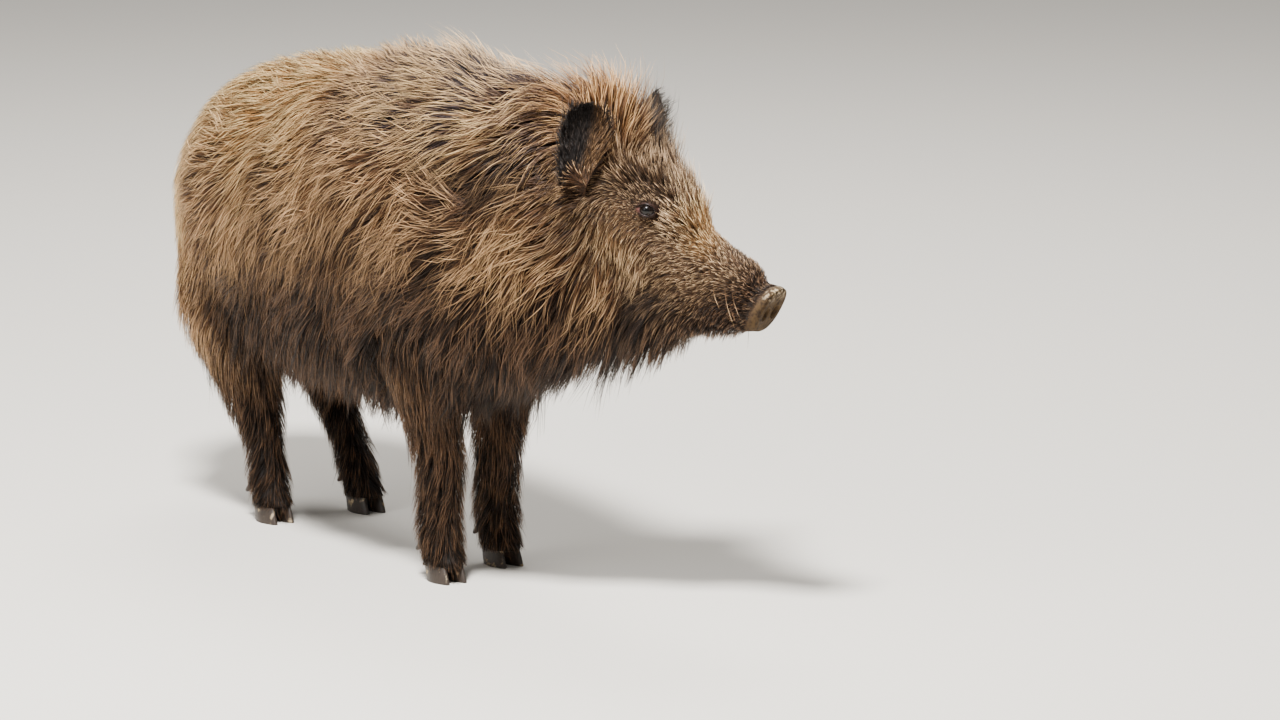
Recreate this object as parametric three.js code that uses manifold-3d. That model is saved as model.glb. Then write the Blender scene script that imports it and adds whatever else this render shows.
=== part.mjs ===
// Wild boar, a young adult in a shaggy winter coat, standing on four feet with its head
// turned to its left. The solids reach to the tips of the coat.
// Millimetres. +X runs along the trunk to the head end, +Y to the animal's left, +Z up.
// While the animal is built, x = 0 lies midway between the front feet and z = 0 is the floor.

import * as THREE from 'three';
import { mergeVertices } from 'three/addons/utils/BufferGeometryUtils.js';
import Module from 'manifold-3d';

const wasm = await Module();
wasm.setup();

// ---- Driving dimensions ----

const partGap = 0.3; // between neighbouring parts
const headTurn = THREE.MathUtils.degToRad(28); // to the animal's left
const headPitch = THREE.MathUtils.degToRad(28); // nose down
const bendStart = 30; // where the neck starts to turn, measured along the spine
const bendLength = 180;
const noseTip = { along: 554, height: 465 }; // start of the head's axis, just before the nose disc

// Sections of the trunk and neck, square to the spine. `along` is the distance along the
// spine; top, wide and bottom are heights; half is half the width at the height `wide`;
// mane is how far the upright hair of the back stands above `top`; peak is how pointed the
// upper half is, where 1 is an ellipse and less is fuller.
const trunkSections = [
	{ along: -650, top: 604, wide: 460, bottom: 300, half: 122, mane: 0, peak: 0.9 },
	{ along: -560, top: 662, wide: 462, bottom: 256, half: 166, mane: 4, peak: 0.9 },
	{ along: -430, top: 692, wide: 462, bottom: 250, half: 178, mane: 10, peak: 0.9 },
	{ along: -283, top: 707, wide: 465, bottom: 250, half: 182, mane: 16, peak: 0.9 },
	{ along: -121, top: 730, wide: 470, bottom: 248, half: 178, mane: 30, peak: 0.95 },
	{ along: 20, top: 726, wide: 475, bottom: 252, half: 166, mane: 32, peak: 1 },
	{ along: 135, top: 719, wide: 485, bottom: 284, half: 144, mane: 36, peak: 1.05 },
	{ along: 210, top: 722, wide: 500, bottom: 310, half: 120, mane: 46, peak: 1.15 },
	{ along: 290, top: 700, wide: 500, bottom: 348, half: 94, mane: 46, peak: 1.2 },
	{ along: 360, top: 590, wide: 480, bottom: 378, half: 70, mane: 0, peak: 1.1 },
];
const trunkRearCap = 84;
const throatCap = 40;
const trunkSteps = 20;

// Sections of the head, square to its axis. `back` is the distance behind the nose tip;
// top, wide and bottom are measured up from the axis, which runs along the nose's upper side.
const headSections = [
	{ back: 8, top: -2, wide: -36, bottom: -71, half: 30, mane: 0, peak: 0.9 },
	{ back: 15, top: -2, wide: -37, bottom: -75, half: 34, mane: 0, peak: 0.9 },
	{ back: 38, top: -9, wide: -44, bottom: -92, half: 29, mane: 0, peak: 0.9 },
	{ back: 53, top: 3, wide: -46, bottom: -103, half: 35, mane: 0, peak: 0.9 },
	{ back: 90, top: 6, wide: -52, bottom: -128, half: 41, mane: 0, peak: 0.9 },
	{ back: 136, top: 10, wide: -62, bottom: -162, half: 52, mane: 0, peak: 0.95 },
	{ back: 181, top: 28, wide: -66, bottom: -196, half: 63, mane: 2, peak: 1 },
	{ back: 225, top: 50, wide: -68, bottom: -215, half: 74, mane: 4, peak: 1.05 },
	{ back: 275, top: 62, wide: -70, bottom: -225, half: 87, mane: 8, peak: 1.1 },
	{ back: 325, top: 88, wide: -70, bottom: -225, half: 96, mane: 42, peak: 1.3 },
	{ back: 370, top: 98, wide: -60, bottom: -190, half: 92, mane: 42, peak: 1.3 },
	{ back: 430, top: 50, wide: -50, bottom: -140, half: 72, mane: 10, peak: 1.2 },
];
const napeCap = 20;
const noseRings = [8, 11, 15, 27, 38, 46, 53]; // close rings that shape the nose disc
const muzzleStart = 70; // evenly spread rings from here to the last section
const headSteps = 14;
const maneHalfWidth = 46;
const lowerPeak = 0.8; // fullness of every section's lower half
const sectionPoints = 28;
const capAngles = [15, 32, 50, 70].map(THREE.MathUtils.degToRad); // rings of a rounded end

// Half-lengths (fore and aft) and half-widths of the legs with their coat, at heights above
// the floor; x and y place the leg's centre, y away from the middle plane.
const legSections = {
	front: [
		{ z: 420, x: -40, y: 95, long: 82, half: 46 },
		{ z: 330, x: -22, y: 92, long: 72, half: 46 },
		{ z: 270, x: -8, y: 80, long: 50, half: 40 },
		{ z: 215, x: -4, y: 68, long: 34, half: 31 },
		{ z: 160, x: 0, y: 63, long: 30, half: 28 },
		{ z: 100, x: -4, y: 62, long: 27, half: 25 },
		{ z: 60, x: -2, y: 62, long: 30, half: 28 },
		{ z: 24, x: 9, y: 62, long: 34, half: 27 },
	],
	hind: [
		{ z: 440, x: -70, y: 108, long: 108, half: 54 },
		{ z: 340, x: -72, y: 106, long: 104, half: 54 },
		{ z: 270, x: -66, y: 96, long: 84, half: 47 },
		{ z: 210, x: -52, y: 84, long: 56, half: 37 },
		{ z: 160, x: -38, y: 77, long: 42, half: 30 },
		{ z: 100, x: -18, y: 75, long: 26, half: 23 },
		{ z: 60, x: -10, y: 75, long: 27, half: 26 },
		{ z: 24, x: 3, y: 75, long: 32, half: 27 },
	],
};
const legs = {
	front_right: { sections: 'front', side: -1, footX: 20, kneeX: 20 },
	front_left: { sections: 'front', side: 1, footX: -30, kneeX: -30 },
	hind_right: { sections: 'hind', side: -1, footX: -452, kneeX: -456 },
	hind_left: { sections: 'hind', side: 1, footX: -442, kneeX: -500 },
};
const kneeHeight = 190; // where the leg's slant from knee or hock to foot starts
const footHeight = 24; // lower end of the leg, inside the hooves' tops
const shankTop = 228; // where the lower leg is parted from the upper

const legSteps = 5; // rings below the knee; one more above it
const legPoints = 12;

// A hoof's toe: its sole lies `ahead` of the foot's centre, and it shrinks and slopes back
// as it rises; `point` is how much narrower it gets towards the front.
const hoof = {
	length: 56, width: 24, height: 40, spacing: 14, ahead: 6, slope: 14, shrink: 0.3, point: 0.35,
	rings: 3, points: 10,
};
const dewclaw = {
	radius: 8.5, tip: 3, length: 32, height: 50, behind: 34, spread: 17, backTilt: 0.7, outTilt: 0.35,
	points: 8,
};

// On the head, places are the distance back from the nose tip, out from the middle plane and
// up from the head's axis.

const eye = { radius: 11.5, back: 218, up: 3, out: 53, bowl: 17, bowlOut: 69, points: 11 };
const ear = {
	up: -6, length: 120, half: 40, wall: 9,
	cup: 1.1, depth: 0.9, // the curl of its section, and the depth of the cup for its half-width
	outTilt: 0.25, backTilt: -0.05,
};
// The left ear is held a little forward of the right one; facing is the turn from the front.
const earRoots = {
	right: { side: -1, back: 321, out: 92, facing: 0.95 },
	left: { side: 1, back: 304, out: 108, facing: 0.85 },
};
const nostril = { deep: 14, half: 7, tall: 9, back: 8, out: 12, up: -42, points: 8 };
const mouth = { frontBack: 17, frontUp: -80, cornerBack: 140, cornerUp: -104 };
const earSteps = 7;
const earRings = 9;

// The tail hangs behind the rump; each row is a place on its middle line and its half-thickness.
const tailSections = [
	{ x: -660, y: 0, z: 540, half: 18 },
	{ x: -708, y: 2, z: 490, half: 16 },
	{ x: -726, y: 6, z: 400, half: 14 },
	{ x: -724, y: 10, z: 300, half: 17 },
	{ x: -718, y: 12, z: 250, half: 19 },
	{ x: -712, y: 14, z: 195, half: 4 },
];
const tailSteps = 10;
const tailPoints = 8;

// Where the body is parted into its pieces.
const noseCutBack = 44;
const headCutBack = 338;
const neckCut = { x: 40, z: 500, lean: 0.32 };

// ---- Smooth tables and closed lofts ----

// Reads a table of sections at any place between its first and last row.
function tableReader(rows, key) {
	const fields = Object.keys(rows[0]).filter((name) => name !== key);
	const ordered = [...rows].sort((one, other) => one[key] - other[key]);
	const spline = new THREE.CubicInterpolant(
		ordered.map((row) => row[key]),
		ordered.flatMap((row) => fields.map((name) => row[name])),
		fields.length,
	);
	return (place) => {
		const values = spline.evaluate(place);
		return Object.fromEntries(fields.map((name, i) => [name, values[i]]));
	};
}

// Closes a stack of equal rings into one solid surface, with a point in the middle of each end.
function loft(rings) {
	const count = rings[0].length;
	const middle = (ring) => ring.reduce((sum, p) => sum.add(p), new THREE.Vector3()).divideScalar(count);
	const points = [...rings.flat(), middle(rings[0]), middle(rings.at(-1))];
	const index = [];
	rings.forEach((ring, r) => {
		for (let i = 0; i < count; i++) {
			const a = r * count + i;
			const b = r * count + ((i + 1) % count);
			if (r === 0) index.push(points.length - 2, b, a);
			if (r === rings.length - 1) index.push(points.length - 1, a, b);
			else index.push(a, b, b + count, a, b + count, a + count);
		}
	});
	const geometry = new THREE.BufferGeometry().setFromPoints(points);
	geometry.setIndex(index);
	return geometry;
}

// Evenly spread places from one end to the other.
function spread(from, to, steps) {
	return Array.from({ length: steps + 1 }, (_, i) => from + ((to - from) * i) / steps);
}

// Evenly spread angles once round.
function angles(count) {
	return spread(0, 2 * Math.PI, count).slice(0, -1);
}

// ---- Solids, cuts and joins ----

// Makes a closed geometry a solid, and turns it right side out where a mirror turned it.
const mergeTolerance = 1e-3;
function solid(geometry) {
	geometry.deleteAttribute('normal');
	geometry.deleteAttribute('uv');
	const merged = mergeVertices(geometry, mergeTolerance);
	const withTriangles = (triVerts) => new wasm.Manifold(new wasm.Mesh({
		numProp: 3,
		vertProperties: new Float32Array(merged.attributes.position.array),
		triVerts: new Uint32Array(triVerts),
	}));
	const made = withTriangles(merged.index.array);
	return made.volume() > 0 ? made : withTriangles(merged.index.array.slice().reverse());
}

function surface(made) {
	const mesh = made.getMesh();
	const geometry = new THREE.BufferGeometry();
	geometry.setAttribute('position', new THREE.BufferAttribute(new Float32Array(mesh.vertProperties), 3));
	geometry.setIndex(new THREE.BufferAttribute(new Uint32Array(mesh.triVerts), 1));
	return geometry;
}

// A large block whose face lies at `point`, square to `normal`, filling the side it points to.
const blockSize = 3000;
function halfSpace(point, normal) {
	const block = new THREE.BoxGeometry(blockSize, blockSize, blockSize);
	block.translate(0, 0, blockSize / 2);
	const turn = new THREE.Quaternion().setFromUnitVectors(new THREE.Vector3(0, 0, 1), normal);
	block.applyQuaternion(turn).translate(point.x, point.y, point.z);
	return solid(block);
}

// Parts a solid at a plane: the side the normal points to, and the rest, with a gap between.
function part(whole, point, normal) {
	const beyond = point.clone().addScaledVector(normal, partGap);
	return [whole.intersect(halfSpace(beyond, normal)), whole.subtract(halfSpace(point, normal))];
}

// ---- Trunk, neck and head ----

// The spine runs straight, turns in an arc to the animal's left, and runs on straight.
function spine(along) {
	const radius = bendLength / headTurn;
	const turned = THREE.MathUtils.clamp((along - bendStart) / radius, 0, headTurn);
	const x = Math.min(along, bendStart) + radius * Math.sin(turned);
	const y = radius * (1 - Math.cos(turned));
	const rest = Math.max(along - bendStart - bendLength, 0);
	return {
		point: new THREE.Vector3(x + rest * Math.cos(turned), y + rest * Math.sin(turned), 0),
		left: new THREE.Vector3(-Math.sin(turned), Math.cos(turned), 0),
	};
}

// One section: a rounded outline whose upper and lower halves have their own heights, with
// the mane as a soft ridge along the top. `swell` makes it larger all round.
function sectionOutline({ top, wide, bottom, half, mane, peak }, size, swell) {
	return angles(sectionPoints).map((angle) => {
		const power = Math.sin(angle) > 0 ? peak : lowerPeak;
		const across = Math.sign(Math.cos(angle)) * Math.abs(Math.cos(angle)) ** power;
		const up = Math.sign(Math.sin(angle)) * Math.abs(Math.sin(angle)) ** power;
		const reach = up > 0 ? top - wide : wide - bottom;
		const side = across * (half * size + swell);
		const ridge = up > 0 ? up * mane * size * Math.exp(-((side / maneHalfWidth) ** 2)) : 0;
		return { side, height: wide + up * (reach * size + swell) + ridge };
	});
}

// Rings of a rounded end: from its tip, `reach` beyond the section at `place`, back to it.
function capRings(place, reach) {
	return capAngles.map((a) => ({ place, beyond: reach * Math.cos(a), size: Math.sin(a) }));
}

function trunkSolid(swell = 0) {
	const read = tableReader(trunkSections, 'along');
	const first = trunkSections[0].along;
	const last = trunkSections.at(-1).along;
	const rings = [
		...capRings(first, -trunkRearCap),
		...spread(first, last, trunkSteps).map((place) => ({ place, beyond: 0, size: 1 })),
		...capRings(last, throatCap).reverse(),
	].map(({ place, beyond, size }) => {
		const { point, left } = spine(place + beyond);
		return sectionOutline(read(place), size, swell).map(({ side, height }) =>
			point.clone().addScaledVector(left, side).setZ(height));
	});
	return solid(loft(rings));
}

// The head's own frame: forward along its axis, left and up, with its origin at the nose tip.
const headFrame = (() => {
	const { point, left } = spine(noseTip.along);
	const forward = left.clone().cross(new THREE.Vector3(0, 0, 1));
	forward.multiplyScalar(Math.cos(headPitch)).setZ(-Math.sin(headPitch));
	const up = forward.clone().cross(left);
	return { origin: point.setZ(noseTip.height), forward, left, up };
})();

function headPoint(back, out, up) {
	const { origin, forward, left } = headFrame;
	return origin.clone().addScaledVector(forward, -back)
		.addScaledVector(left, out).addScaledVector(headFrame.up, up);
}

function headMatrix(back, out, up) {
	const { forward, left } = headFrame;
	return new THREE.Matrix4().makeBasis(forward, left, headFrame.up)
		.setPosition(headPoint(back, out, up));
}

function headSolid(swell = 0) {
	const read = tableReader(headSections, 'back');
	const last = headSections.at(-1).back;
	const rings = [
		...[...noseRings, ...spread(muzzleStart, last, headSteps)]
			.map((place) => ({ place, beyond: 0, size: 1 })),
		...capRings(last, napeCap).reverse(),
	].map(({ place, beyond, size }) => sectionOutline(read(place), size, swell)
		.map(({ side, height }) => headPoint(place + beyond, side, height)));
	return solid(loft(rings));
}

// ---- Legs ----

// A leg runs from inside the trunk down to the tops of its hooves, in level rings.
function legSolid({ sections, side, footX, kneeX }, swell = 0) {
	const read = tableReader(legSections[sections], 'z');
	const top = legSections[sections][0].z;
	const heights = [
		...spread(footHeight, kneeHeight, legSteps),
		...spread(kneeHeight, top, legSteps + 1).slice(1),
	];
	const rings = heights.map((z) => {
		const { x, y, long, half } = read(z);
		const lean = THREE.MathUtils.smoothstep(z, footHeight, kneeHeight) * (kneeX - footX);
		return angles(legPoints).map((angle) => new THREE.Vector3(
			footX + lean + x + Math.cos(angle) * (long + swell),
			side * (y + Math.sin(angle) * (half + swell)),
			z,
		));
	});
	return solid(loft(rings));
}

// A toe: its sole is a flat pointed oval on the floor, and its front wall slopes back as it rises.
function toeSolid({ sections, side, footX }, across, swell = 0) {
	const foot = legSections[sections].at(-1);
	const rings = spread(0, 1, hoof.rings).map((rise) => {
		const size = (1 - hoof.shrink * rise ** 2) / 2;
		return angles(hoof.points).map((angle) => {
			const ahead = Math.cos(angle);
			const narrowing = 1 - hoof.point * Math.max(ahead, 0);
			return new THREE.Vector3(
				footX + foot.x + hoof.ahead - hoof.slope * rise + ahead * (hoof.length * size + swell),
				side * foot.y + across * hoof.spacing
					+ Math.sin(angle) * narrowing * (hoof.width * size + swell),
				rise * (hoof.height + swell) - (rise === 0 ? swell : 0),
			);
		});
	});
	return solid(loft(rings));
}

// A dewclaw: a small blunt cone behind the foot, its tip down and back, clear of the floor.
function dewclawSolid({ sections, side, footX }, across, swell = 0) {
	const foot = legSections[sections].at(-1);
	const cone = new THREE.CylinderGeometry(
		dewclaw.radius + swell, dewclaw.tip + swell, dewclaw.length + swell, dewclaw.points,
	);
	cone.rotateX(Math.PI / 2).rotateY(dewclaw.backTilt).rotateX(across * dewclaw.outTilt);
	return solid(cone.translate(
		footX + foot.x - dewclaw.behind,
		side * foot.y + across * dewclaw.spread,
		dewclaw.height,
	));
}

// ---- Ears, eyes, nose and tail ----

// An ear is a cupped leaf: each section across it is a crescent, open to the front and side.
function earSolid({ side, back, out, facing }) {
	const rings = spread(0, 1, earRings).map((rise) => {
		const half = ear.half * earOutline(rise);
		const crescent = (thickness) => spread(-1, 1, earSteps).map((t) => {
			const across = half * Math.sin(t * ear.cup) / Math.sin(ear.cup);
			const hollow = half * ear.depth * (Math.cos(t * ear.cup) - Math.cos(ear.cup));
			return new THREE.Vector3(-hollow - thickness * (1 - t * t / 2), across, ear.length * rise);
		});
		return [...crescent(ear.wall / 2), ...crescent(-ear.wall / 2).reverse()];
	});
	const leaf = loft(rings);
	leaf.rotateY(ear.backTilt).rotateX(-ear.outTilt).rotateZ(-facing);
	leaf.scale(1, -side, 1).rotateZ(headTurn);
	const root = headPoint(back, side * out, ear.up);
	return solid(leaf.translate(root.x, root.y, root.z));
}

// The ear's half-width, as a share of its widest: narrower at the root and round at the tip.
function earOutline(rise) {
	return (0.56 + 0.7 * rise) * Math.sqrt(1 - rise ** 3) + 0.02;
}

function eyeSolid(side, swell = 0) {
	const ball = new THREE.SphereGeometry(eye.radius + swell, eye.points, eye.points);
	const centre = headPoint(eye.back, side * eye.out, eye.up);
	return solid(ball.translate(centre.x, centre.y, centre.z));
}

// The shallow bowl of the lids and lashes around an eye.
function eyeBowl(side) {
	const bowl = new THREE.SphereGeometry(eye.bowl, eye.points, eye.points);
	const centre = headPoint(eye.back, side * eye.bowlOut, eye.up);
	return solid(bowl.translate(centre.x, centre.y, centre.z));
}

// A nostril is a blind pocket in the nose disc.
function nostrilSolid(side) {
	const pocket = new THREE.SphereGeometry(1, nostril.points, nostril.points);
	pocket.scale(nostril.deep, nostril.half, nostril.tall);
	return solid(pocket.applyMatrix4(headMatrix(nostril.back, side * nostril.out, nostril.up)));
}

function tailSolid() {
	const path = new THREE.CatmullRomCurve3(tailSections.map(({ x, y, z }) => new THREE.Vector3(x, y, z)));
	const read = tableReader(tailSections.map(({ half }, i) => ({ place: i, half })), 'place');
	const rings = spread(0, 1, tailSteps).map((t) => {
		const centre = path.getPoint(t);
		const onward = path.getTangent(t);
		const out = new THREE.Vector3(0, 1, 0).cross(onward).normalize();
		const across = onward.cross(out);
		const { half } = read(t * (tailSections.length - 1));
		return angles(tailPoints).map((angle) => centre.clone()
			.addScaledVector(out, Math.cos(angle) * half)
			.addScaledVector(across, Math.sin(angle) * half));
	});
	return solid(loft(rings));
}

// ---- The animal, parted into its named pieces ----

const finishes = {
	coat: { color: 0x84664a, roughness: 0.85 },
	face: { color: 0x6e5a48, roughness: 0.85 },
	dark: { color: 0x3a2d26, roughness: 0.8 },
	ear: { color: 0x2c211b, roughness: 0.9 },
	nose: { color: 0x5f4d34, roughness: 0.4 },
	horn: { color: 0x2b2521, roughness: 0.5 },
	eye: { color: 0x14100f, roughness: 0.08 },
};

const boar = new THREE.Group();
function add(name, made, finish) {
	const mesh = new THREE.Mesh(surface(made), new THREE.MeshStandardMaterial(finish));
	mesh.material.metalness = 0;
	mesh.name = name;
	boar.add(mesh);
}

const toeSides = [1, -1];
const envelope = trunkSolid().add(headSolid());
const besideEnvelope = trunkSolid(partGap).add(headSolid(partGap));

const [headPiece, rest] = part(envelope, headPoint(headCutBack, 0, 0), headFrame.forward);
const [neck, torso] = part(rest, new THREE.Vector3(neckCut.x, 0, neckCut.z),
	new THREE.Vector3(Math.cos(neckCut.lean), 0, Math.sin(neckCut.lean)));
const trunk = Object.values(legs).reduce((left, leg) => left.subtract(legSolid(leg, partGap)), torso);
add('trunk', trunk, finishes.coat);
add('neck', neck, finishes.coat);
add('tail', tailSolid().subtract(besideEnvelope), finishes.dark);

// The lower jaw lies under the mouth line, from below the nose to the mouth's corner.
const mouthFront = headPoint(mouth.frontBack, 0, mouth.frontUp);
const mouthCorner = headPoint(mouth.cornerBack, 0, mouth.cornerUp);
const down = mouthCorner.clone().sub(mouthFront).cross(headFrame.left).normalize();
function jawSpace(gap) {
	return halfSpace(mouthFront.clone().addScaledVector(down, gap), down)
		.intersect(halfSpace(mouthCorner.clone().addScaledVector(headFrame.forward, gap), headFrame.forward));
}
add('jaw', headPiece.intersect(jawSpace(partGap)), finishes.dark);

const [nose, skull] = part(headPiece.subtract(jawSpace(0)), headPoint(noseCutBack, 0, 0), headFrame.forward);
add('nose', nose.subtract(nostrilSolid(1)).subtract(nostrilSolid(-1)), finishes.nose);
const head = [1, -1].reduce(
	(left, side) => left.subtract(eyeBowl(side)).subtract(eyeSolid(side, partGap)),
	skull,
);
add('head', head, finishes.face);
for (const [name, root] of Object.entries(earRoots)) {
	add(`eye_${name}`, eyeSolid(root.side), finishes.eye);
	add(`ear_${name}`, earSolid(root).subtract(besideEnvelope), finishes.ear);
}

for (const [name, leg] of Object.entries(legs)) {
	const shaft = toeSides.reduce(
		(left, across) => left.subtract(toeSolid(leg, across, partGap)).subtract(dewclawSolid(leg, across, partGap)),
		legSolid(leg),
	);
	const [upper, lower] = part(shaft, new THREE.Vector3(0, 0, shankTop), new THREE.Vector3(0, 0, 1));
	add(`${name}_upper_leg`, upper, finishes.coat);
	add(`${name}_lower_leg`, lower, finishes.dark);
	for (const across of toeSides) {
		const where = across === leg.side ? 'outer' : 'inner';
		add(`${name}_${where}_hoof`, toeSolid(leg, across), finishes.horn);
		add(`${name}_${where}_dewclaw`, dewclawSolid(leg, across), finishes.horn);
	}
}

// The origin is the middle of the animal's box, on the floor.
const middle = new THREE.Box3().setFromObject(boar).getCenter(new THREE.Vector3());
for (const mesh of boar.children) mesh.geometry.translate(-middle.x, -middle.y, 0);

export default boar;
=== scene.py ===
import math

import bpy
import numpy as np
from mathutils import Matrix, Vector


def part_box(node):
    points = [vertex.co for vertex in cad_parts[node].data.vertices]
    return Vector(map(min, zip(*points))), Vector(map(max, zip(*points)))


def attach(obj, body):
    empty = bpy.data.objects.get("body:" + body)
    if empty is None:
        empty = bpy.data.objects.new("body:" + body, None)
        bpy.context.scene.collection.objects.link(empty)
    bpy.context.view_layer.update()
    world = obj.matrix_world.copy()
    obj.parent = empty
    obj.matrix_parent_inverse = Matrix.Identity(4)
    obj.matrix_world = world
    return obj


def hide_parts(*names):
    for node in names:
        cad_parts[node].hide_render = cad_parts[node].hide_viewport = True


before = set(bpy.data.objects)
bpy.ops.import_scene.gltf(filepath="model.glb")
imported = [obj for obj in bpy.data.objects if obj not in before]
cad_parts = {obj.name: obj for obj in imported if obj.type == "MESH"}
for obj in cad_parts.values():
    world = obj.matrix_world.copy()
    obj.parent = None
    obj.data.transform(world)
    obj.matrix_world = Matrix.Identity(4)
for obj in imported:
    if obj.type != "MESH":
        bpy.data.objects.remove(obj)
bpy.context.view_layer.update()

# A wild boar in a shaggy winter coat, life size: one skin, two eyes, four feet of horn, and a
# coat of thin closed tufts. Shapes are worked out in millimetres in the animal's own frame:
# x = 0 midway between the front feet, +X towards the head, +Y to its left, +Z up from the floor.

tau = 2 * math.pi
rng = np.random.default_rng(11)


# The animal's own frame

pose = {
    "headTurn": math.radians(28),   # to the animal's left
    "headPitch": math.radians(28),  # nose down
    "bendStart": 30,                # where the neck starts to turn, along the spine
    "bendLength": 180,
    "noseAlong": 554,
    "noseHeight": 465,
}


def unit(v):
    # each vector over its own length
    return v / np.maximum(np.linalg.norm(v, axis=-1, keepdims=True), 1e-9)


def dot(a, b):
    # the sum of the products along the last axis
    return (a * b).sum(-1)


def smooth(x, start, end):
    # 0 before start, 1 after end, with a soft step between; end may be the smaller one
    t = np.clip((x - start) / (end - start), 0, 1)
    return t * t * (3 - 2 * t)


def hump(x, middle, width):
    # a bell of height 1 round the middle
    return np.exp(-(((x - middle) / width) ** 2))


def spine(along):
    # straight, then an arc of bendLength through headTurn, then straight again
    radius = pose["bendLength"] / pose["headTurn"]
    turned = np.clip((along - pose["bendStart"]) / radius, 0, pose["headTurn"])
    rest = np.maximum(along - pose["bendStart"] - pose["bendLength"], 0)
    x = np.minimum(along, pose["bendStart"]) + radius * np.sin(turned) + rest * np.cos(turned)
    y = radius * (1 - np.cos(turned)) + rest * np.sin(turned)
    zero = np.zeros_like(turned)
    return np.stack([x, y, zero], -1), np.stack([-np.sin(turned), np.cos(turned), zero], -1)


cosTurn, sinTurn = math.cos(pose["headTurn"]), math.sin(pose["headTurn"])
cosPitch, sinPitch = math.cos(pose["headPitch"]), math.sin(pose["headPitch"])
headForward = np.array([cosTurn * cosPitch, sinTurn * cosPitch, -sinPitch])
headLeft = np.array([-sinTurn, cosTurn, 0])
headUp = np.cross(headForward, headLeft)
noseTip = spine(np.float64(pose["noseAlong"]))[0] + [0, 0, pose["noseHeight"]]


def headPoint(back, out, up):
    # from the tip of the nose: back along the head's axis, out to its left, and up across both
    back, out, up = (np.asarray(v, float)[..., None] for v in (back, out, up))
    return noseTip - back * headForward + out * headLeft + up * headUp


def headPlace(points):
    # how far back, out and up each point lies in the head's frame
    away = points - noseTip
    return -dot(away, headForward), dot(away, headLeft), dot(away, headUp)


eyeValues = {"radius": 11.5, "back": 218, "up": 3, "out": 53}


def boxMiddle(node):
    # half-way between the corners of a node's box, in metres
    low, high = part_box(node)
    return (np.array(low) + np.array(high)) / 2


eyeMiddle = headPoint(eyeValues["back"], 0, eyeValues["up"])
shift = (boxMiddle("eye_right") + boxMiddle("eye_left")) / 2 - eyeMiddle / 1000
shift[2] = 0
print("own frame starts at", shift.round(5).tolist())


def toFrame(points):
    # from the animal's own millimetres to metres in the shared frame
    return points / 1000 + shift


# Meshes from arrays

def readTable(rows, places):
    # a cubic through the rows of a table, with slopes from the neighbouring rows
    rows = np.array(rows, float)
    rows = rows[np.argsort(rows[:, 0])]
    knots, values = rows[:, 0], rows[:, 1:]
    slopes = np.gradient(values, knots, axis=0)
    i = np.clip(np.searchsorted(knots, places, side="right") - 1, 0, len(knots) - 2)
    gap = (knots[i + 1] - knots[i])[:, None]
    t = ((places - knots[i]) / gap[:, 0])[:, None]
    near = (1 + 2 * t) * (1 - t) ** 2 * values[i] + t * (1 - t) ** 2 * gap * slopes[i]
    far = t * t * (3 - 2 * t) * values[i + 1] + t * t * (t - 1) * gap * slopes[i + 1]
    return (near + far).T


def ringFaces(rings, points):
    # quads between neighbouring rings, and one polygon on each end
    r, i = np.meshgrid(np.arange(rings - 1), np.arange(points), indexing="ij")
    j = (i + 1) % points
    a, b = r * points + i, r * points + j
    quads = np.stack([a, b, b + points, a + points], -1).reshape(-1, 4)
    last = (rings - 1) * points
    return quads.tolist() + [list(range(points - 1, -1, -1)), list(range(last, last + points))]


def linked(name, data):
    # an object in the scene, unturned at the origin
    made = bpy.data.objects.new(name, data)
    bpy.context.scene.collection.objects.link(made)
    return made


def shadeSmooth(mesh):
    # every face shaded as one soft surface
    mesh.polygons.foreach_set("use_smooth", np.ones(len(mesh.polygons), bool))


def makeMesh(name, points, faces):
    # rows of points, and each face as a list of its corners
    mesh = bpy.data.meshes.new(name)
    mesh.from_pydata(points.tolist(), [], faces)
    mesh.update()
    return linked(name, mesh)


def makeTriangles(name, points, triangles):
    # the quick way for many faces: every loop and start goes in as one array
    mesh = bpy.data.meshes.new(name)
    mesh.vertices.add(len(points))
    mesh.vertices.foreach_set("co", points.astype(np.float32).ravel())
    mesh.loops.add(triangles.size)
    mesh.loops.foreach_set("vertex_index", triangles.astype(np.int32).ravel())
    mesh.polygons.add(len(triangles))
    mesh.polygons.foreach_set("loop_start", np.arange(0, triangles.size, 3, dtype=np.int32))
    shadeSmooth(mesh)
    mesh.update(calc_edges=True)
    return linked(name, mesh)


def setValues(mesh, **fields):
    # each field becomes a value on the mesh's points
    for name, values in fields.items():
        made = mesh.attributes.new(name, "FLOAT", "POINT")
        made.data.foreach_set("value", np.ascontiguousarray(values, np.float32).ravel())


def getValues(mesh, name):
    # a value of the mesh's points as one array
    values = np.zeros(len(mesh.vertices), np.float32)
    mesh.attributes[name].data.foreach_get("value", values)
    return values.astype(float)


def turnOutwards(piece):
    # a mirrored loft is inside out: its faces turn round where the sum of a . (b x c) over its
    # triangles, six times its volume, is below nothing
    mesh = piece.data
    mesh.calc_loop_triangles()
    corners = np.zeros(len(mesh.loop_triangles) * 3, np.int32)
    mesh.loop_triangles.foreach_get("vertices", corners)
    co = np.zeros(len(mesh.vertices) * 3, np.float32)
    mesh.vertices.foreach_get("co", co)
    a, b, c = co.reshape(-1, 3)[corners.reshape(-1, 3)].transpose(1, 0, 2)
    if dot(a, np.cross(b, c)).sum() < 0:
        mesh.flip_normals()
    return piece


# The skin's limbs, each a closed loft
# Sections of the coat's outside as in the solids, and the coat's depth on the top, side and
# bottom of each, by which the skin lies inside.

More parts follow.
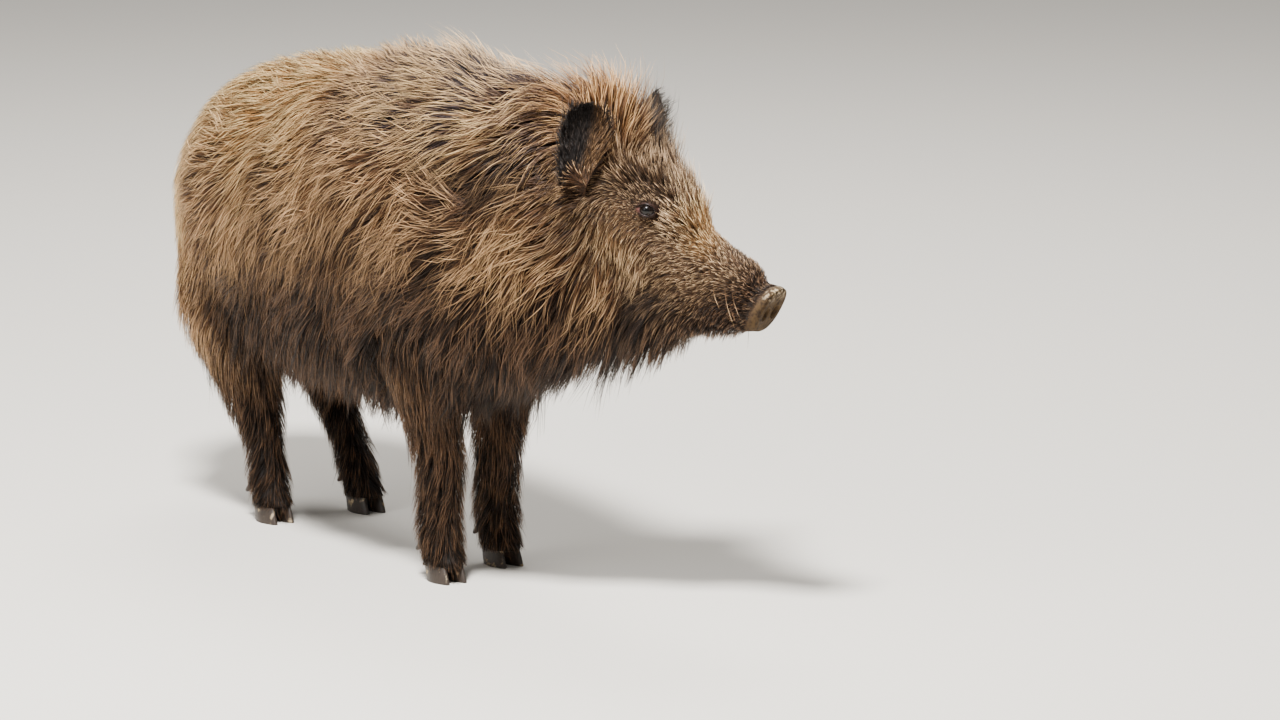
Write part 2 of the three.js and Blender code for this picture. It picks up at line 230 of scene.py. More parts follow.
trunkValues = {
    # along, top, wide, bottom, half, mane, peak, coat on top, side, bottom
    "sections": [
        (-650, 604, 460, 300, 122, 0, 0.9, 18, 18, 30),
        (-560, 662, 462, 256, 166, 4, 0.9, 20, 20, 36),
        (-430, 692, 462, 250, 178, 10, 0.9, 22, 22, 42),
        (-283, 707, 465, 250, 182, 16, 0.9, 22, 22, 46),
        (-121, 730, 470, 248, 178, 30, 0.95, 24, 24, 46),
        (20, 726, 475, 252, 166, 32, 1, 26, 26, 44),
        (135, 719, 485, 284, 144, 36, 1.05, 28, 26, 46),
        (210, 722, 500, 310, 120, 46, 1.15, 28, 24, 50),
        (290, 700, 500, 348, 94, 46, 1.2, 26, 22, 50),
        (360, 590, 480, 378, 70, 0, 1.1, 22, 20, 40),
    ],
    "rearCap": 66, "frontCap": 40, "step": 9, "points": 132,
    "capAngles": (6, 14, 24, 35, 46, 57, 68, 79),  # degrees, from the tip of a rounded end to its edge
}
headValues = {
    # back, top, wide, bottom, half, mane, peak, coat on top, side, bottom
    "sections": [
        (8, -2, -36, -71, 30, 0, 0.9, 0.3, 0.3, 0.3),
        (15, -2, -37, -75, 34, 0, 0.9, 0.4, 0.4, 0.5),
        (38, -9, -44, -92, 29, 0, 0.9, 1.2, 1.5, 2),
        (53, 3, -46, -103, 35, 0, 0.9, 2.5, 2.5, 4),
        (90, 6, -52, -128, 41, 0, 0.9, 3, 3.5, 8),
        (136, 10, -62, -162, 52, 0, 0.95, 4, 5, 14),
        (181, 28, -66, -196, 63, 2, 1, 6, 7, 26),
        (225, 50, -68, -215, 74, 4, 1.05, 8, 9, 38),
        (275, 62, -70, -225, 87, 8, 1.1, 10, 13, 44),
        (325, 88, -70, -225, 96, 42, 1.3, 22, 18, 46),
        (370, 98, -60, -190, 92, 42, 1.3, 26, 20, 40),
        (430, 50, -50, -140, 72, 10, 1.2, 20, 18, 30),
    ],
    "cap": 20, "capAngles": (79, 66, 52, 38, 25, 14, 6), "points": 168,
    "disc": 8, "discRings": 25,  # where the snout's flat front lies
    # stretches along the axis: start, end and step between the rings
    "stretches": [(9.4, 53, 1.7), (53, 190, 3.4), (190, 252, 1.7), (252, 430, 5.2)],
    "eyeAngles": (40, 140), "eyeWidth": 0.26, "eyeCrowd": 2.4,  # where a ring's points crowd together
}
sectionValues = {
    "maneHalf": 46, "maneKept": 0.2,  # the ridge of upright hair, and the skin's share of it
    "lowerPower": 0.8,
}


def sectionPlace(row, angle, size):
    # a section's rounded outline: powers of the cosine and the sine, whose upper and lower
    # halves have their own heights, with a soft ridge on top; also the coat's depth there
    top, wide, bottom, half, mane, peak, coatTop, coatSide, coatBottom = (v[:, None] for v in row)
    kept = sectionValues["maneKept"]
    power = np.where(np.sin(angle) > 0, peak, sectionValues["lowerPower"])
    across = np.sign(np.cos(angle)) * np.abs(np.cos(angle)) ** power
    up = np.sign(np.sin(angle)) * np.abs(np.sin(angle)) ** power
    side = across * (half - coatSide) * size
    ridge = np.maximum(up, 0) * mane * hump(side, 0, sectionValues["maneHalf"]) * size
    reach = np.where(up > 0, top - coatTop - wide, wide - bottom - coatBottom)
    height = wide + up * reach * size + ridge * kept
    depth = coatSide + np.where(up > 0, (coatTop - coatSide), (coatBottom - coatSide)) * up * up
    return side, height, up, depth + ridge * (1 - kept)


def limbPiece(name, limb, points, reach, rise, turn, coat):
    # a closed loft that carries its limb's number, the place along it (reach) and round it (turn),
    # how far up its section a point lies (rise), and the depth of the coat over it
    rings, count = points.shape[:2]
    piece = makeMesh(name, toFrame(points).reshape(-1, 3), ringFaces(rings, count))
    full = np.ones((rings, count))
    setValues(piece.data, limb=full * limb, reach=full * reach, rise=full * rise,
              turn=full * turn, coat=full * coat)
    return turnOutwards(piece)


def capped(places, v):
    # places along an axis with a rounded end added on both sides: (place, beyond it, size)
    bend = np.radians(v["capAngles"])
    rear = [(places[0], -v["rearCap"] * math.cos(a), math.sin(a)) for a in bend]
    front = [(places[-1], v["frontCap"] * math.cos(a), math.sin(a)) for a in bend[::-1]]
    return np.array(rear + [(p, 0, 1) for p in places] + front).T


def trunkSkin():
    # sections across the spine from the rump to inside the head
    v = trunkValues
    first, last = v["sections"][0][0], v["sections"][-1][0]
    places = np.linspace(first, last, round((last - first) / v["step"]))
    place, beyond, size = capped(places, v)
    angle = np.arange(v["points"])[None] / v["points"] * tau
    side, height, up, coat = sectionPlace(readTable(v["sections"], place), angle, size[:, None])
    middle, left = spine(place + beyond)
    points = middle[:, None] + left[:, None] * side[..., None]
    points[..., 2] = height
    reach = (place + beyond)[:, None]
    return limbPiece("trunkSkin", limbIds["trunk"], points, reach, up, angle / tau, coat)


# Soft swellings (+) and hollows (-) of the head, in millimetres: where it lies back, out and up,
# how wide it is along and across, and how high it stands.
headSwellings = [
    (236, 50, 26, 20, 10, 4.5),    # brow over the eye
    (196, 44, -4, 16, 14, -2.5),   # hollow before the eye
    (262, 62, 8, 20, 16, -3.5),    # temple
    (262, 74, -46, 34, 18, 4.0),   # cheekbone
    (176, 48, -46, 26, 14, 2.5),   # its ridge towards the snout
    (140, 44, -76, 30, 12, -2.5),  # hollow over the mouth's corner
    (70, 30, -30, 16, 16, 2.0),    # pad behind the nose disc
    (300, 30, 70, 30, 24, 3.0),    # crown
]
snoutValues = {
    "rim": 0.88, "rimRound": 2.4, "hollow": 1.8, "bareTo": (27, 14),
    "nostrilOut": 12.5, "nostrilUp": -41, "nostrilWide": 6.2, "nostrilTall": 8.0, "nostrilDeep": 13,
    "nostrilRim": (1.3, 1.45, 0.3),  # height, place and width of its raised edge
    "foldHeight": 0.9, "foldStep": 8.5, "foldBow": 5,
    "foldStart": (34, 42), "foldEnd": (78, 60), "foldSide": (-0.5, 0.2),
    "mouthFront": (17, -80), "mouthCorner": (140, -104), "mouthDeep": 3.2, "mouthHalf": 2.4,
    "mouthStart": (12, 24), "mouthEnd": (146, 132),
    "chinBack": 2.2, "chinEdge": (1, -3), "chinEnd": (-30, -8),
    "lip": (1.2, 7, 5),  # height, place over the mouth and width
}
lidValues = {
    "gaze": (0.2, 0.93, 0.24),     # forward, out, up
    "slant": math.radians(20),     # the front corner's rise over the head's axis
    "halfLong": 10.6, "halfUpper": 7.4, "halfLower": 6.2,
    "lid": 1.9, "inside": 2.6, "mound": 5.0, "moundWide": 23, "blend": 2.2,
    "crease": (1.3, 1.75, 0.16),   # depth, place in slits from the middle, width
    "creaseSide": (-2, 3), "slitEdge": (1.22, 0.88), "reach": (54, 36), "behind": (-30, -16),
}


def smoothMax(a, b, blend):
    # the greater of two heights, rounded where they cross: (a + b + root of (a - b)^2 + blend^2) / 2
    return 0.5 * (a + b + np.sqrt((a - b) ** 2 + blend * blend))


def eyeAxes(side):
    # the eye's axes in (forward, out, up) of the head: where it looks, along its slit, across it
    gaze = unit(np.array(lidValues["gaze"]) * [1, side, 1])
    along = np.array([math.cos(lidValues["slant"]), 0, math.sin(lidValues["slant"])])
    along = unit(along - dot(along, gaze) * gaze)
    across = np.cross(gaze, along) * -side
    return gaze, along, across


def eyeOpening(along, across):
    # below 1 inside the slit between the lids: an ellipse with its own halves over and under
    v = lidValues
    tall = np.where(across > 0, v["halfUpper"], v["halfLower"])
    return (along / v["halfLong"]) ** 2 + (across / tall) ** 2


def fromEye(back, out, up, side):
    # forward, out and up from an eye's middle to places of the head
    v = eyeValues
    return np.stack([v["back"] - back, out - side * v["out"], up - v["up"]], -1)


def withLids(back, out, up, side):
    # the skin near an eye is a height over the eye's middle along its gaze: it rises on a mound,
    # wraps the ball at a lid's thickness, and dips inside the ball between the lids
    v, radius = lidValues, eyeValues["radius"]
    gaze, along, across = eyeAxes(side)
    away = fromEye(back, out, up, side)
    height, x, y = dot(away, gaze), dot(away, along), dot(away, across)
    far = np.hypot(x, y)
    opening = eyeOpening(x, y)
    outside = radius + v["lid"]
    lid = np.sqrt(np.maximum(outside ** 2 - far * far, 0)) - np.where(far > outside, 9, 0)
    raised = height + v["mound"] * hump(far, 0, v["moundWide"])
    deep, place, width = v["crease"]
    crease = deep * hump(np.sqrt(opening), place, width) * smooth(y, *v["creaseSide"])
    made = smoothMax(raised, lid, v["blend"]) - crease
    inside = np.sqrt(np.maximum(radius ** 2 - far * far, 4)) - v["inside"]
    made += (inside - made) * smooth(opening, *v["slitEdge"])
    near = smooth(far, *v["reach"]) * smooth(height, *v["behind"])
    moved = away + gaze * ((made - height) * near)[..., None]
    return (eyeValues["back"] - moved[..., 0], moved[..., 1] + side * eyeValues["out"],
            moved[..., 2] + eyeValues["up"])


def headAngles(points):
    # angles round the head, closest together at the two eyes
    v = headValues
    fine = np.linspace(0, tau, 4000)
    crowd = 1 + v["eyeCrowd"] * sum(hump(fine, math.radians(a), v["eyeWidth"]) for a in v["eyeAngles"])
    total = np.concatenate([[0], np.cumsum((crowd[1:] + crowd[:-1]) / 2)])
    return np.interp(np.arange(points) / points * total[-1], total, fine)


def swellingPush(back, out, up):
    # the sum of the head's soft swellings at each point
    push = np.zeros_like(out)
    for atBack, atOut, atUp, long, tall, height in headSwellings:
        aside = (np.abs(out) - atOut) ** 2 + (up - atUp) ** 2
        push += height * np.exp(-(((back - atBack) / long) ** 2 + aside / tall ** 2))
    return push


def foldPush(back, angle, rise):
    # waves over the bridge of the snout, bowed back at its sides and fading all round
    v = snoutValues
    waves = np.sin(tau * (back + v["foldBow"] * np.abs(np.cos(angle))) / v["foldStep"])
    fade = smooth(back, *v["foldStart"]) * smooth(back, *v["foldEnd"]) * smooth(rise, *v["foldSide"])
    return v["foldHeight"] * waves * fade


def mouthPush(back, up):
    # a groove along the mouth, the chin set back under it, and a full lip over it
    v = snoutValues
    (frontBack, frontUp), (cornerBack, cornerUp) = v["mouthFront"], v["mouthCorner"]
    line = frontUp + (back - frontBack) / (cornerBack - frontBack) * (cornerUp - frontUp)
    over = up - line
    height, place, width = v["lip"]
    push = height * hump(over, place, width) - v["mouthDeep"] * hump(over, 0, v["mouthHalf"])
    push -= v["chinBack"] * smooth(over, *v["chinEdge"]) * smooth(over, *v["chinEnd"])
    return push * smooth(back, *v["mouthStart"]) * smooth(back, *v["mouthEnd"])


def headSkin():
    # rings grow over the flat disc of the snout, run back along the head's axis and close in a cap
    v, snout = headValues, snoutValues
    last = v["sections"][-1][0]
    along = np.concatenate([np.arange(*stretch) for stretch in v["stretches"]] + [[last]])
    disc, bend = np.linspace(0.05, 1, v["discRings"]), np.radians(v["capAngles"])
    place = np.concatenate([np.full(len(disc), v["disc"]), along, np.full(len(bend), last)])
    size = np.concatenate([disc, np.ones(len(along)), np.sin(bend)])[:, None]
    beyond = np.concatenate([np.zeros(len(disc) + len(along)), v["cap"] * np.cos(bend)])
    angle = headAngles(v["points"])[None]
    row = readTable(v["sections"], place)
    out, up, rise, coat = sectionPlace(row, angle, size)
    onDisc = (np.arange(len(place)) < len(disc))[:, None]
    shaped = snout["hollow"] * (1 - size ** 2) + snout["rimRound"] * smooth(size, snout["rim"], 1) ** 2
    back = (place + beyond)[:, None] + np.where(onDisc, shaped, 0.0) + 0 * out
    # each point moves in or out from the section's middle
    middle = row[1][:, None]
    outwards = np.stack([out, up - middle], -1) / np.maximum(np.hypot(out, up - middle), 1)[..., None]
    push = swellingPush(back, out, up) + foldPush(back, angle, rise) + mouthPush(back, up)
    push = np.where(onDisc, 0, push)
    out = out + outwards[..., 0] * push
    up = up + outwards[..., 1] * push
    # nostrils sink into the disc, each with a raised rim
    hole = np.sqrt(((np.abs(out) - snout["nostrilOut"]) / snout["nostrilWide"]) ** 2
                   + ((up - snout["nostrilUp"]) / snout["nostrilTall"]) ** 2)
    height, ring, width = snout["nostrilRim"]
    dip = snout["nostrilDeep"] * np.exp(-hole ** 4) - height * hump(hole, ring, width)
    back = back + np.where(onDisc, dip, 0)
    for side in (1, -1):
        back, out, up = withLids(back, out, up, side)
    points = headPoint(back, out, up)
    reach = (place + beyond)[:, None]
    piece = limbPiece("headSkin", limbIds["head"], points, reach, rise, angle / tau, coat)
    bare = np.where(onDisc, 1.0, smooth(back, *snout["bareTo"]))
    setValues(piece.data, bare=bare + 0 * out, hollow=np.where(onDisc, np.exp(-hole ** 4), 0))
    return piece


legValues = {
    # z, x, y, half length, half width, coat
    "front": [
        (420, -40, 95, 82, 46, 18), (330, -22, 92, 72, 46, 15), (270, -8, 80, 50, 40, 11),
        (215, -4, 68, 34, 31, 8), (160, 0, 63, 30, 28, 6.5), (100, -4, 62, 27, 25, 5.5),
        (60, -2, 62, 30, 28, 5), (24, 9, 62, 34, 27, 3),
    ],
    "hind": [
        (440, -70, 108, 108, 54, 20), (340, -72, 106, 104, 54, 18), (270, -66, 96, 84, 47, 14),
        (210, -52, 84, 56, 37, 10), (160, -38, 77, 42, 30, 7.5), (100, -18, 75, 26, 23, 4.5),
        (60, -10, 75, 27, 26, 4.5), (24, 3, 75, 32, 27, 3),
    ],
    # table, side, x of the foot, x of the knee or hock
    "front_right": ("front", -1, 20, 20), "front_left": ("front", 1, -30, -30),
    "hind_right": ("hind", -1, -452, -456), "hind_left": ("hind", 1, -442, -500),
    "points": 44, "step": 7, "foot": 24, "knee": 190,
    "joint": (2.5, 185, 16), "jointFront": (-0.4, 0.8), "fetlock": (2, 66, 12),  # height, z and width
    "tendon": (2.2, -0.62, 0.16), "tendonEnds": (74, 90, 190, 150),
}
legNames = ["front_right", "front_left", "hind_right", "hind_left"]


def legSkin(name, limb):
    # level ellipses from the hooves' tops up into the trunk, with a bulge at each joint and a
    # groove before the tendon at the back
    v = legValues
    table, side, footX, kneeX = v[name]
    z = np.linspace(v["foot"], v[table][0][0], round((v[table][0][0] - v["foot"]) / v["step"]))
    x, y, long, half, coat = (a[:, None] for a in readTable(v[table], z))
    z = z[:, None]
    angle = np.arange(v["points"])[None] / v["points"] * tau
    ahead = np.cos(angle)
    lean = smooth(z, v["foot"], v["knee"]) * (kneeX - footX)
    (knee, kneeZ, kneeWide), (fetlock, fetlockZ, fetlockWide) = v["joint"], v["fetlock"]
    bulge = knee * hump(z, kneeZ, kneeWide) * smooth(ahead, *v["jointFront"])
    bulge = bulge + fetlock * hump(z, fetlockZ, fetlockWide)
    deep, tendonAhead, tendonWide = v["tendon"]
    low, lowFull, high, highFull = v["tendonEnds"]
    groove = deep * hump(ahead, tendonAhead, tendonWide)
    groove = groove * smooth(z, low, lowFull) * smooth(z, high, highFull)
    size = bulge - groove - coat
    points = np.stack([footX + lean + x + ahead * (long + size),
                       side * (y + np.sin(angle) * (half + size)), z + 0 * angle], -1)
    return limbPiece(name + "Skin", limb, points, z, ahead, angle / tau, coat)


earValues = {
    "up": -6, "length": 108, "half": 38, "coat": 2, "wall": 4.6, "cup": 1.1, "depth": 0.9,
    "outTilt": 0.25, "backTilt": -0.05, "sink": 52, "rings": 44, "points": 26,
    "root": 0.42, "rootWide": 0.56, "wider": 0.7, "rootNarrow": 0.54, "rimThin": 0.6, "tipThin": 0.4,
    # height, middle at the root, its drift towards the tip, and width of each fold inside
    "folds": [(2.4, 0.3, -0.15, 0.1), (2.0, -0.2, 0.1, 0.09)],
    # side, back, out, facing
    "right": (-1, 321, 92, 0.95), "left": (1, 304, 108, 0.85),
}


def turnAbout(points, axis, angle):
    # a turn about the x (0), y (1) or z (2) axis
    c, s = math.cos(angle), math.sin(angle)
    a, b = [(1, 2), (2, 0), (0, 1)][axis]
    turned = points.copy()
    turned[..., a] = points[..., a] * c - points[..., b] * s
    turned[..., b] = points[..., a] * s + points[..., b] * c
    return turned


def earPlace(points, name):
    # from the leaf's own axes (x towards the open side, z to the tip) to the head
    side, back, out, facing = earValues[name]
    points = turnAbout(points, 1, earValues["backTilt"])
    points = turnAbout(points, 0, -earValues["outTilt"])
    points = turnAbout(points, 2, -facing) * [1, -side, 1]
    return turnAbout(points, 2, pose["headTurn"]) + headPoint(back, side * out, earValues["up"])


def earSkin(name, limb):
    # a cupped leaf: crescents from root to tip, thin towards the rim, with two folds inside
    v = earValues
    rise = np.linspace(-v["root"], 1, v["rings"])[:, None]
    shown, hidden = np.maximum(rise, 0), np.minimum(rise, 0) / v["root"]
    outline = (v["rootWide"] + v["wider"] * shown) * np.sqrt(np.maximum(1 - shown ** 3, 0)) + 0.02
    outline = outline * (1 - v["rootNarrow"] * hidden ** 2)
    half = np.maximum(v["half"] * outline - v["coat"], 0.6)
    t = np.linspace(-1, 1, v["points"])[None]
    across = half * np.sin(t * v["cup"]) / math.sin(v["cup"])
    hollow = half * v["depth"] * (np.cos(t * v["cup"]) - math.cos(v["cup"]))
    wall = v["wall"] / 2 * (1 - v["rimThin"] * t * t) * (1 - v["tipThin"] * shown)
    folds = sum(high * hump(t, middle + drift * rise, wide) for high, middle, drift, wide in v["folds"])
    folds = folds * smooth(rise, 0.05, 0.25) * smooth(rise, 0.85, 0.5)
    height = v["length"] * rise + 0 * t
    outer = np.stack([-hollow - wall, across, height], -1)
    inner = np.stack([-hollow + wall + folds, across, height], -1)[:, ::-1]
    points = earPlace(np.concatenate([outer, inner], 1), name)
    points = points - v[name][0] * headLeft * (v["sink"] * hidden ** 2)[..., None]
    count = points.shape[1]
    face = np.where(np.arange(count) < count / 2, 1.0, -1.0)[None]
    edge = np.concatenate([t, t[:, ::-1]], 1)
    piece = limbPiece("ear_" + name + "Skin", limb, points, height[:, :1], face,
                      np.arange(count)[None] / count, v["coat"])
    setValues(piece.data, rim=np.ones_like(rise) * edge)
    return piece


tailValues = {
    # place on the tail's middle line, and the half-thickness of its hair
    "path": [(0, -660, 0, 540, 18), (1, -708, 2, 490, 16), (2, -726, 6, 400, 14),
             (3, -724, 10, 300, 17), (4, -718, 12, 250, 19), (5, -712, 14, 195, 4)],
    "core": 0.5, "end": 4.3, "rounded": 0.6, "rings": 40, "points": 18,
}


def tailSkin(limb):
    # circles square to the tail's middle line; their size goes with the root of what is left of it
    v = tailValues
    place = np.linspace(0, v["end"], v["rings"])
    x, y, z, half = readTable(v["path"], place)
    middle = np.stack([x, y, z], -1)
    onward = unit(np.gradient(middle, axis=0))
    out = unit(np.cross([0, 1, 0], onward))
    beside = np.cross(onward, out)
    taper = np.sqrt(np.clip((v["end"] - place) / v["rounded"], 0.02, 1)) * v["core"]
    angle = np.arange(v["points"])[None] / v["points"] * tau
    ring = np.cos(angle)[..., None] * out[:, None] + np.sin(angle)[..., None] * beside[:, None]
    points = middle[:, None] + ring * (half * taper)[:, None, None]
    return limbPiece("tailSkin", limb, points, place[:, None], np.cos(angle), angle / tau,
                     (half * (1 - v["core"]))[:, None])


# One skin

limbIds = {"trunk": 0, "head": 1, "front_right": 2, "front_left": 3, "hind_right": 4,
           "hind_left": 5, "ear_right": 6, "ear_left": 7, "tail": 8}
fieldNames = ["limb", "reach", "rise", "turn", "coat", "bare", "hollow", "rim"]
joinValues = {"spread": 7, "keep": 1.25, "rounds": 30, "step": 0.6}  # how far and how much the joins relax


def joined(limbs):
    # the union of the closed limbs; their point values come along
    whole = limbs[0]
    for limb in limbs:
        for name in fieldNames:
            if name not in limb.data.attributes:
                setValues(limb.data, **{name: np.zeros(len(limb.data.vertices))})
    for limb in limbs[1:]:
        union = whole.modifiers.new("union", "BOOLEAN")
        union.operation, union.solver, union.object = "UNION", "MANIFOLD", limb
        limb.hide_render = True
    whole.modifiers.new("triangles", "TRIANGULATE")
    mesh = bpy.data.meshes.new_from_object(whole.evaluated_get(bpy.context.evaluated_depsgraph_get()))
    for limb in limbs:
        bpy.data.objects.remove(limb)
    return mesh


def meshArrays(mesh):
    # the points, the edges' ends and the triangles' corners
    co = np.zeros(len(mesh.vertices) * 3, np.float32)
    mesh.vertices.foreach_get("co", co)
    edges = np.zeros(len(mesh.edges) * 2, np.int32)
    mesh.edges.foreach_get("vertices", edges)
    triangles = np.zeros(len(mesh.loops), np.int32)
    mesh.loops.foreach_get("vertex_index", triangles)
    return co.reshape(-1, 3).astype(float), edges.reshape(-1, 2), triangles.reshape(-1, 3)


def neighbourMeans(values, edges, count):
    # the mean of each vertex's neighbours, one sum per column
    a, b = np.concatenate([edges, edges[:, ::-1]]).T
    degree = np.maximum(np.bincount(a, minlength=count), 1)
    return np.stack([np.bincount(a, values[b, i], count) / degree for i in range(values.shape[1])], -1)


def softenedJoins(co, edges, limb):
    # the skin is relaxed round the lines where two limbs meet, less and less away from them
    v, count = joinValues, len(co)
    meet = limb[edges[:, 0]] != limb[edges[:, 1]]
    weight = np.zeros((count, 1))
    weight[edges[meet].ravel()] = 1
    for _ in range(v["spread"]):
        weight = np.maximum(weight, neighbourMeans(weight, edges, count) * v["keep"])
    weight = np.clip(weight, 0, 1)
    for _ in range(v["rounds"]):
        co = co + (neighbourMeans(co, edges, count) - co) * v["step"] * weight
    return co


def vertexNormals(co, triangles):
    # the sum of the crossed sides of a vertex's triangles, made one long
    a, b, c = co[triangles].transpose(1, 0, 2)
    face = np.cross(b - a, c - a)
    total = np.stack([np.bincount(triangles.ravel(), np.repeat(face[:, i], 3), len(co))
                      for i in range(3)], -1)
    return unit(total)


def buildSkin():
    # the skin's object, and its points and values as arrays
    limbs = [trunkSkin(), headSkin()]
    limbs += [legSkin(name, limbIds[name]) for name in legNames]
    limbs += [earSkin(name, limbIds["ear_" + name]) for name in ("right", "left")]
    limbs.append(tailSkin(limbIds["tail"]))
    mesh = joined(limbs)
    co, edges, triangles = meshArrays(mesh)
    co = softenedJoins(co, edges, np.round(getValues(mesh, "limb")))
    mesh.vertices.foreach_set("co", co.astype(np.float32).ravel())
    shadeSmooth(mesh)
    mesh.update()
    mesh.name = "skin"
    values = {name: getValues(mesh, name) for name in fieldNames}
    values.update(co=co, edges=edges, triangles=triangles, normal=vertexNormals(co, triangles))
    return linked("skin", mesh), values


skinPiece, skin = buildSkin()
print("skin:", len(skin["co"]), "points,", len(skin["triangles"]), "triangles")


# Where the coat grows, which way it lies and how it is marked

def onLimb(*names):
    # 1 on the skin's points that came from these limbs, 0 elsewhere
    return np.isin(np.round(skin["limb"]), [limbIds[n] for n in names]).astype(float)


def spreadOut(values, rounds):
    # a value on the skin, softened over its neighbours again and again
    columns = values.reshape(len(values), -1)
    for _ in range(rounds):
        columns = 0.3 * columns + 0.7 * neighbourMeans(columns, skin["edges"], len(columns))
    return columns.reshape(values.shape)


waveCount = 10


def ripple(points, size, seed):
    # smooth wavy noise: the sum of sines in random directions, about 1 high
    draw = np.random.default_rng(seed)
    waves = unit(draw.normal(size=(waveCount, 3))) * tau / size * draw.uniform(0.6, 1.5, (waveCount, 1))
    return np.sin(points @ waves.T + draw.uniform(0, tau, waveCount)).sum(1) / math.sqrt(waveCount / 2)


own = (skin["co"] - shift) * 1000
ownX, ownY, ownZ = own.T
headBack, headOut, headHigh = headPlace(own)
trunkOnly, headOnly, tailOnly = onLimb("trunk"), onLimb("head"), onLimb("tail")
legOnly = onLimb(*legNames)
hindOnly = onLimb("hind_right", "hind_left")
earOnly = onLimb("ear_right", "ear_left")
along = np.where(trunkOnly > 0, skin["reach"], np.where(headOnly > 0, 300, 0))
rise = skin["rise"]

layValues = {
    # how much the hair sinks for each step backwards, and what each part of the body adds
    "sink": 0.46, "sinkLow": 0.6, "sinkRump": 1.3, "sinkNeck": 0.1, "rumpTurn": 0.3,
    "sag": 0.16, "sagCheek": 1.2, "sagJaw": 0.75, "cheekTurn": 0.35, "crownUp": 0.9,
    "leg": (-0.22, 0, -1.0), "earFan": 0.75, "earRootUp": 0.15, "rounds": 26,
}


def layOfCoat():
    # the way the hair lies: backwards along the spine and down, more downwards on the rump,
    # the lower flanks, the legs and the cheeks; out towards the rim on the ears
    v = layValues
    backwards = -np.cross(spine(along)[1], [0, 0, 1])
    down = np.array([0, 0, -1.0])
    rump = smooth(along, -470, -640)
    sink = v["sink"] + v["sinkLow"] * smooth(ownZ, 560, 380) + v["sinkRump"] * rump
    sink = sink + v["sinkNeck"] * smooth(along, 20, 200)
    onTrunk = backwards * (1 - v["rumpTurn"] * rump)[:, None] + down * sink[:, None]
    cheek = smooth(headBack, 90, 210) * smooth(headHigh, 15, -90)
    jaw = smooth(headBack, 24, 70) * smooth(headHigh, -10, -60)
    crown = smooth(headBack, 215, 300) * smooth(headHigh, 10, 60)
    sag = v["sag"] + v["sagCheek"] * cheek + v["sagJaw"] * jaw * (1 - cheek)
    onHead = -headForward * (1 - v["cheekTurn"] * cheek)[:, None] + down * sag[:, None]
    onHead = onHead + headUp * (v["crownUp"] * crown)[:, None]
    flow = onTrunk * trunkOnly[:, None] + onHead * headOnly[:, None]
    flow += np.array(v["leg"]) * legOnly[:, None] + down * tailOnly[:, None]
    for name in ("right", "left"):
        ear = onLimb("ear_" + name)[:, None]
        middle = earPlace(np.array([[0.0, 0, 0], [0, 0, 1], [0, 1, 0]]), name)
        tip, across = middle[1] - middle[0], middle[2] - middle[0]
        upper = smooth(skin["reach"], -5, 20)[:, None]
        fan = tip + across * v["earFan"] * skin["rim"][:, None]
        flow += (fan * upper + (headUp * v["earRootUp"] - headForward) * (1 - upper)) * ear
    flow = spreadOut(flow, v["rounds"])
    return unit(flow - skin["normal"] * dot(flow, skin["normal"])[:, None])


skin["flow"] = layOfCoat()

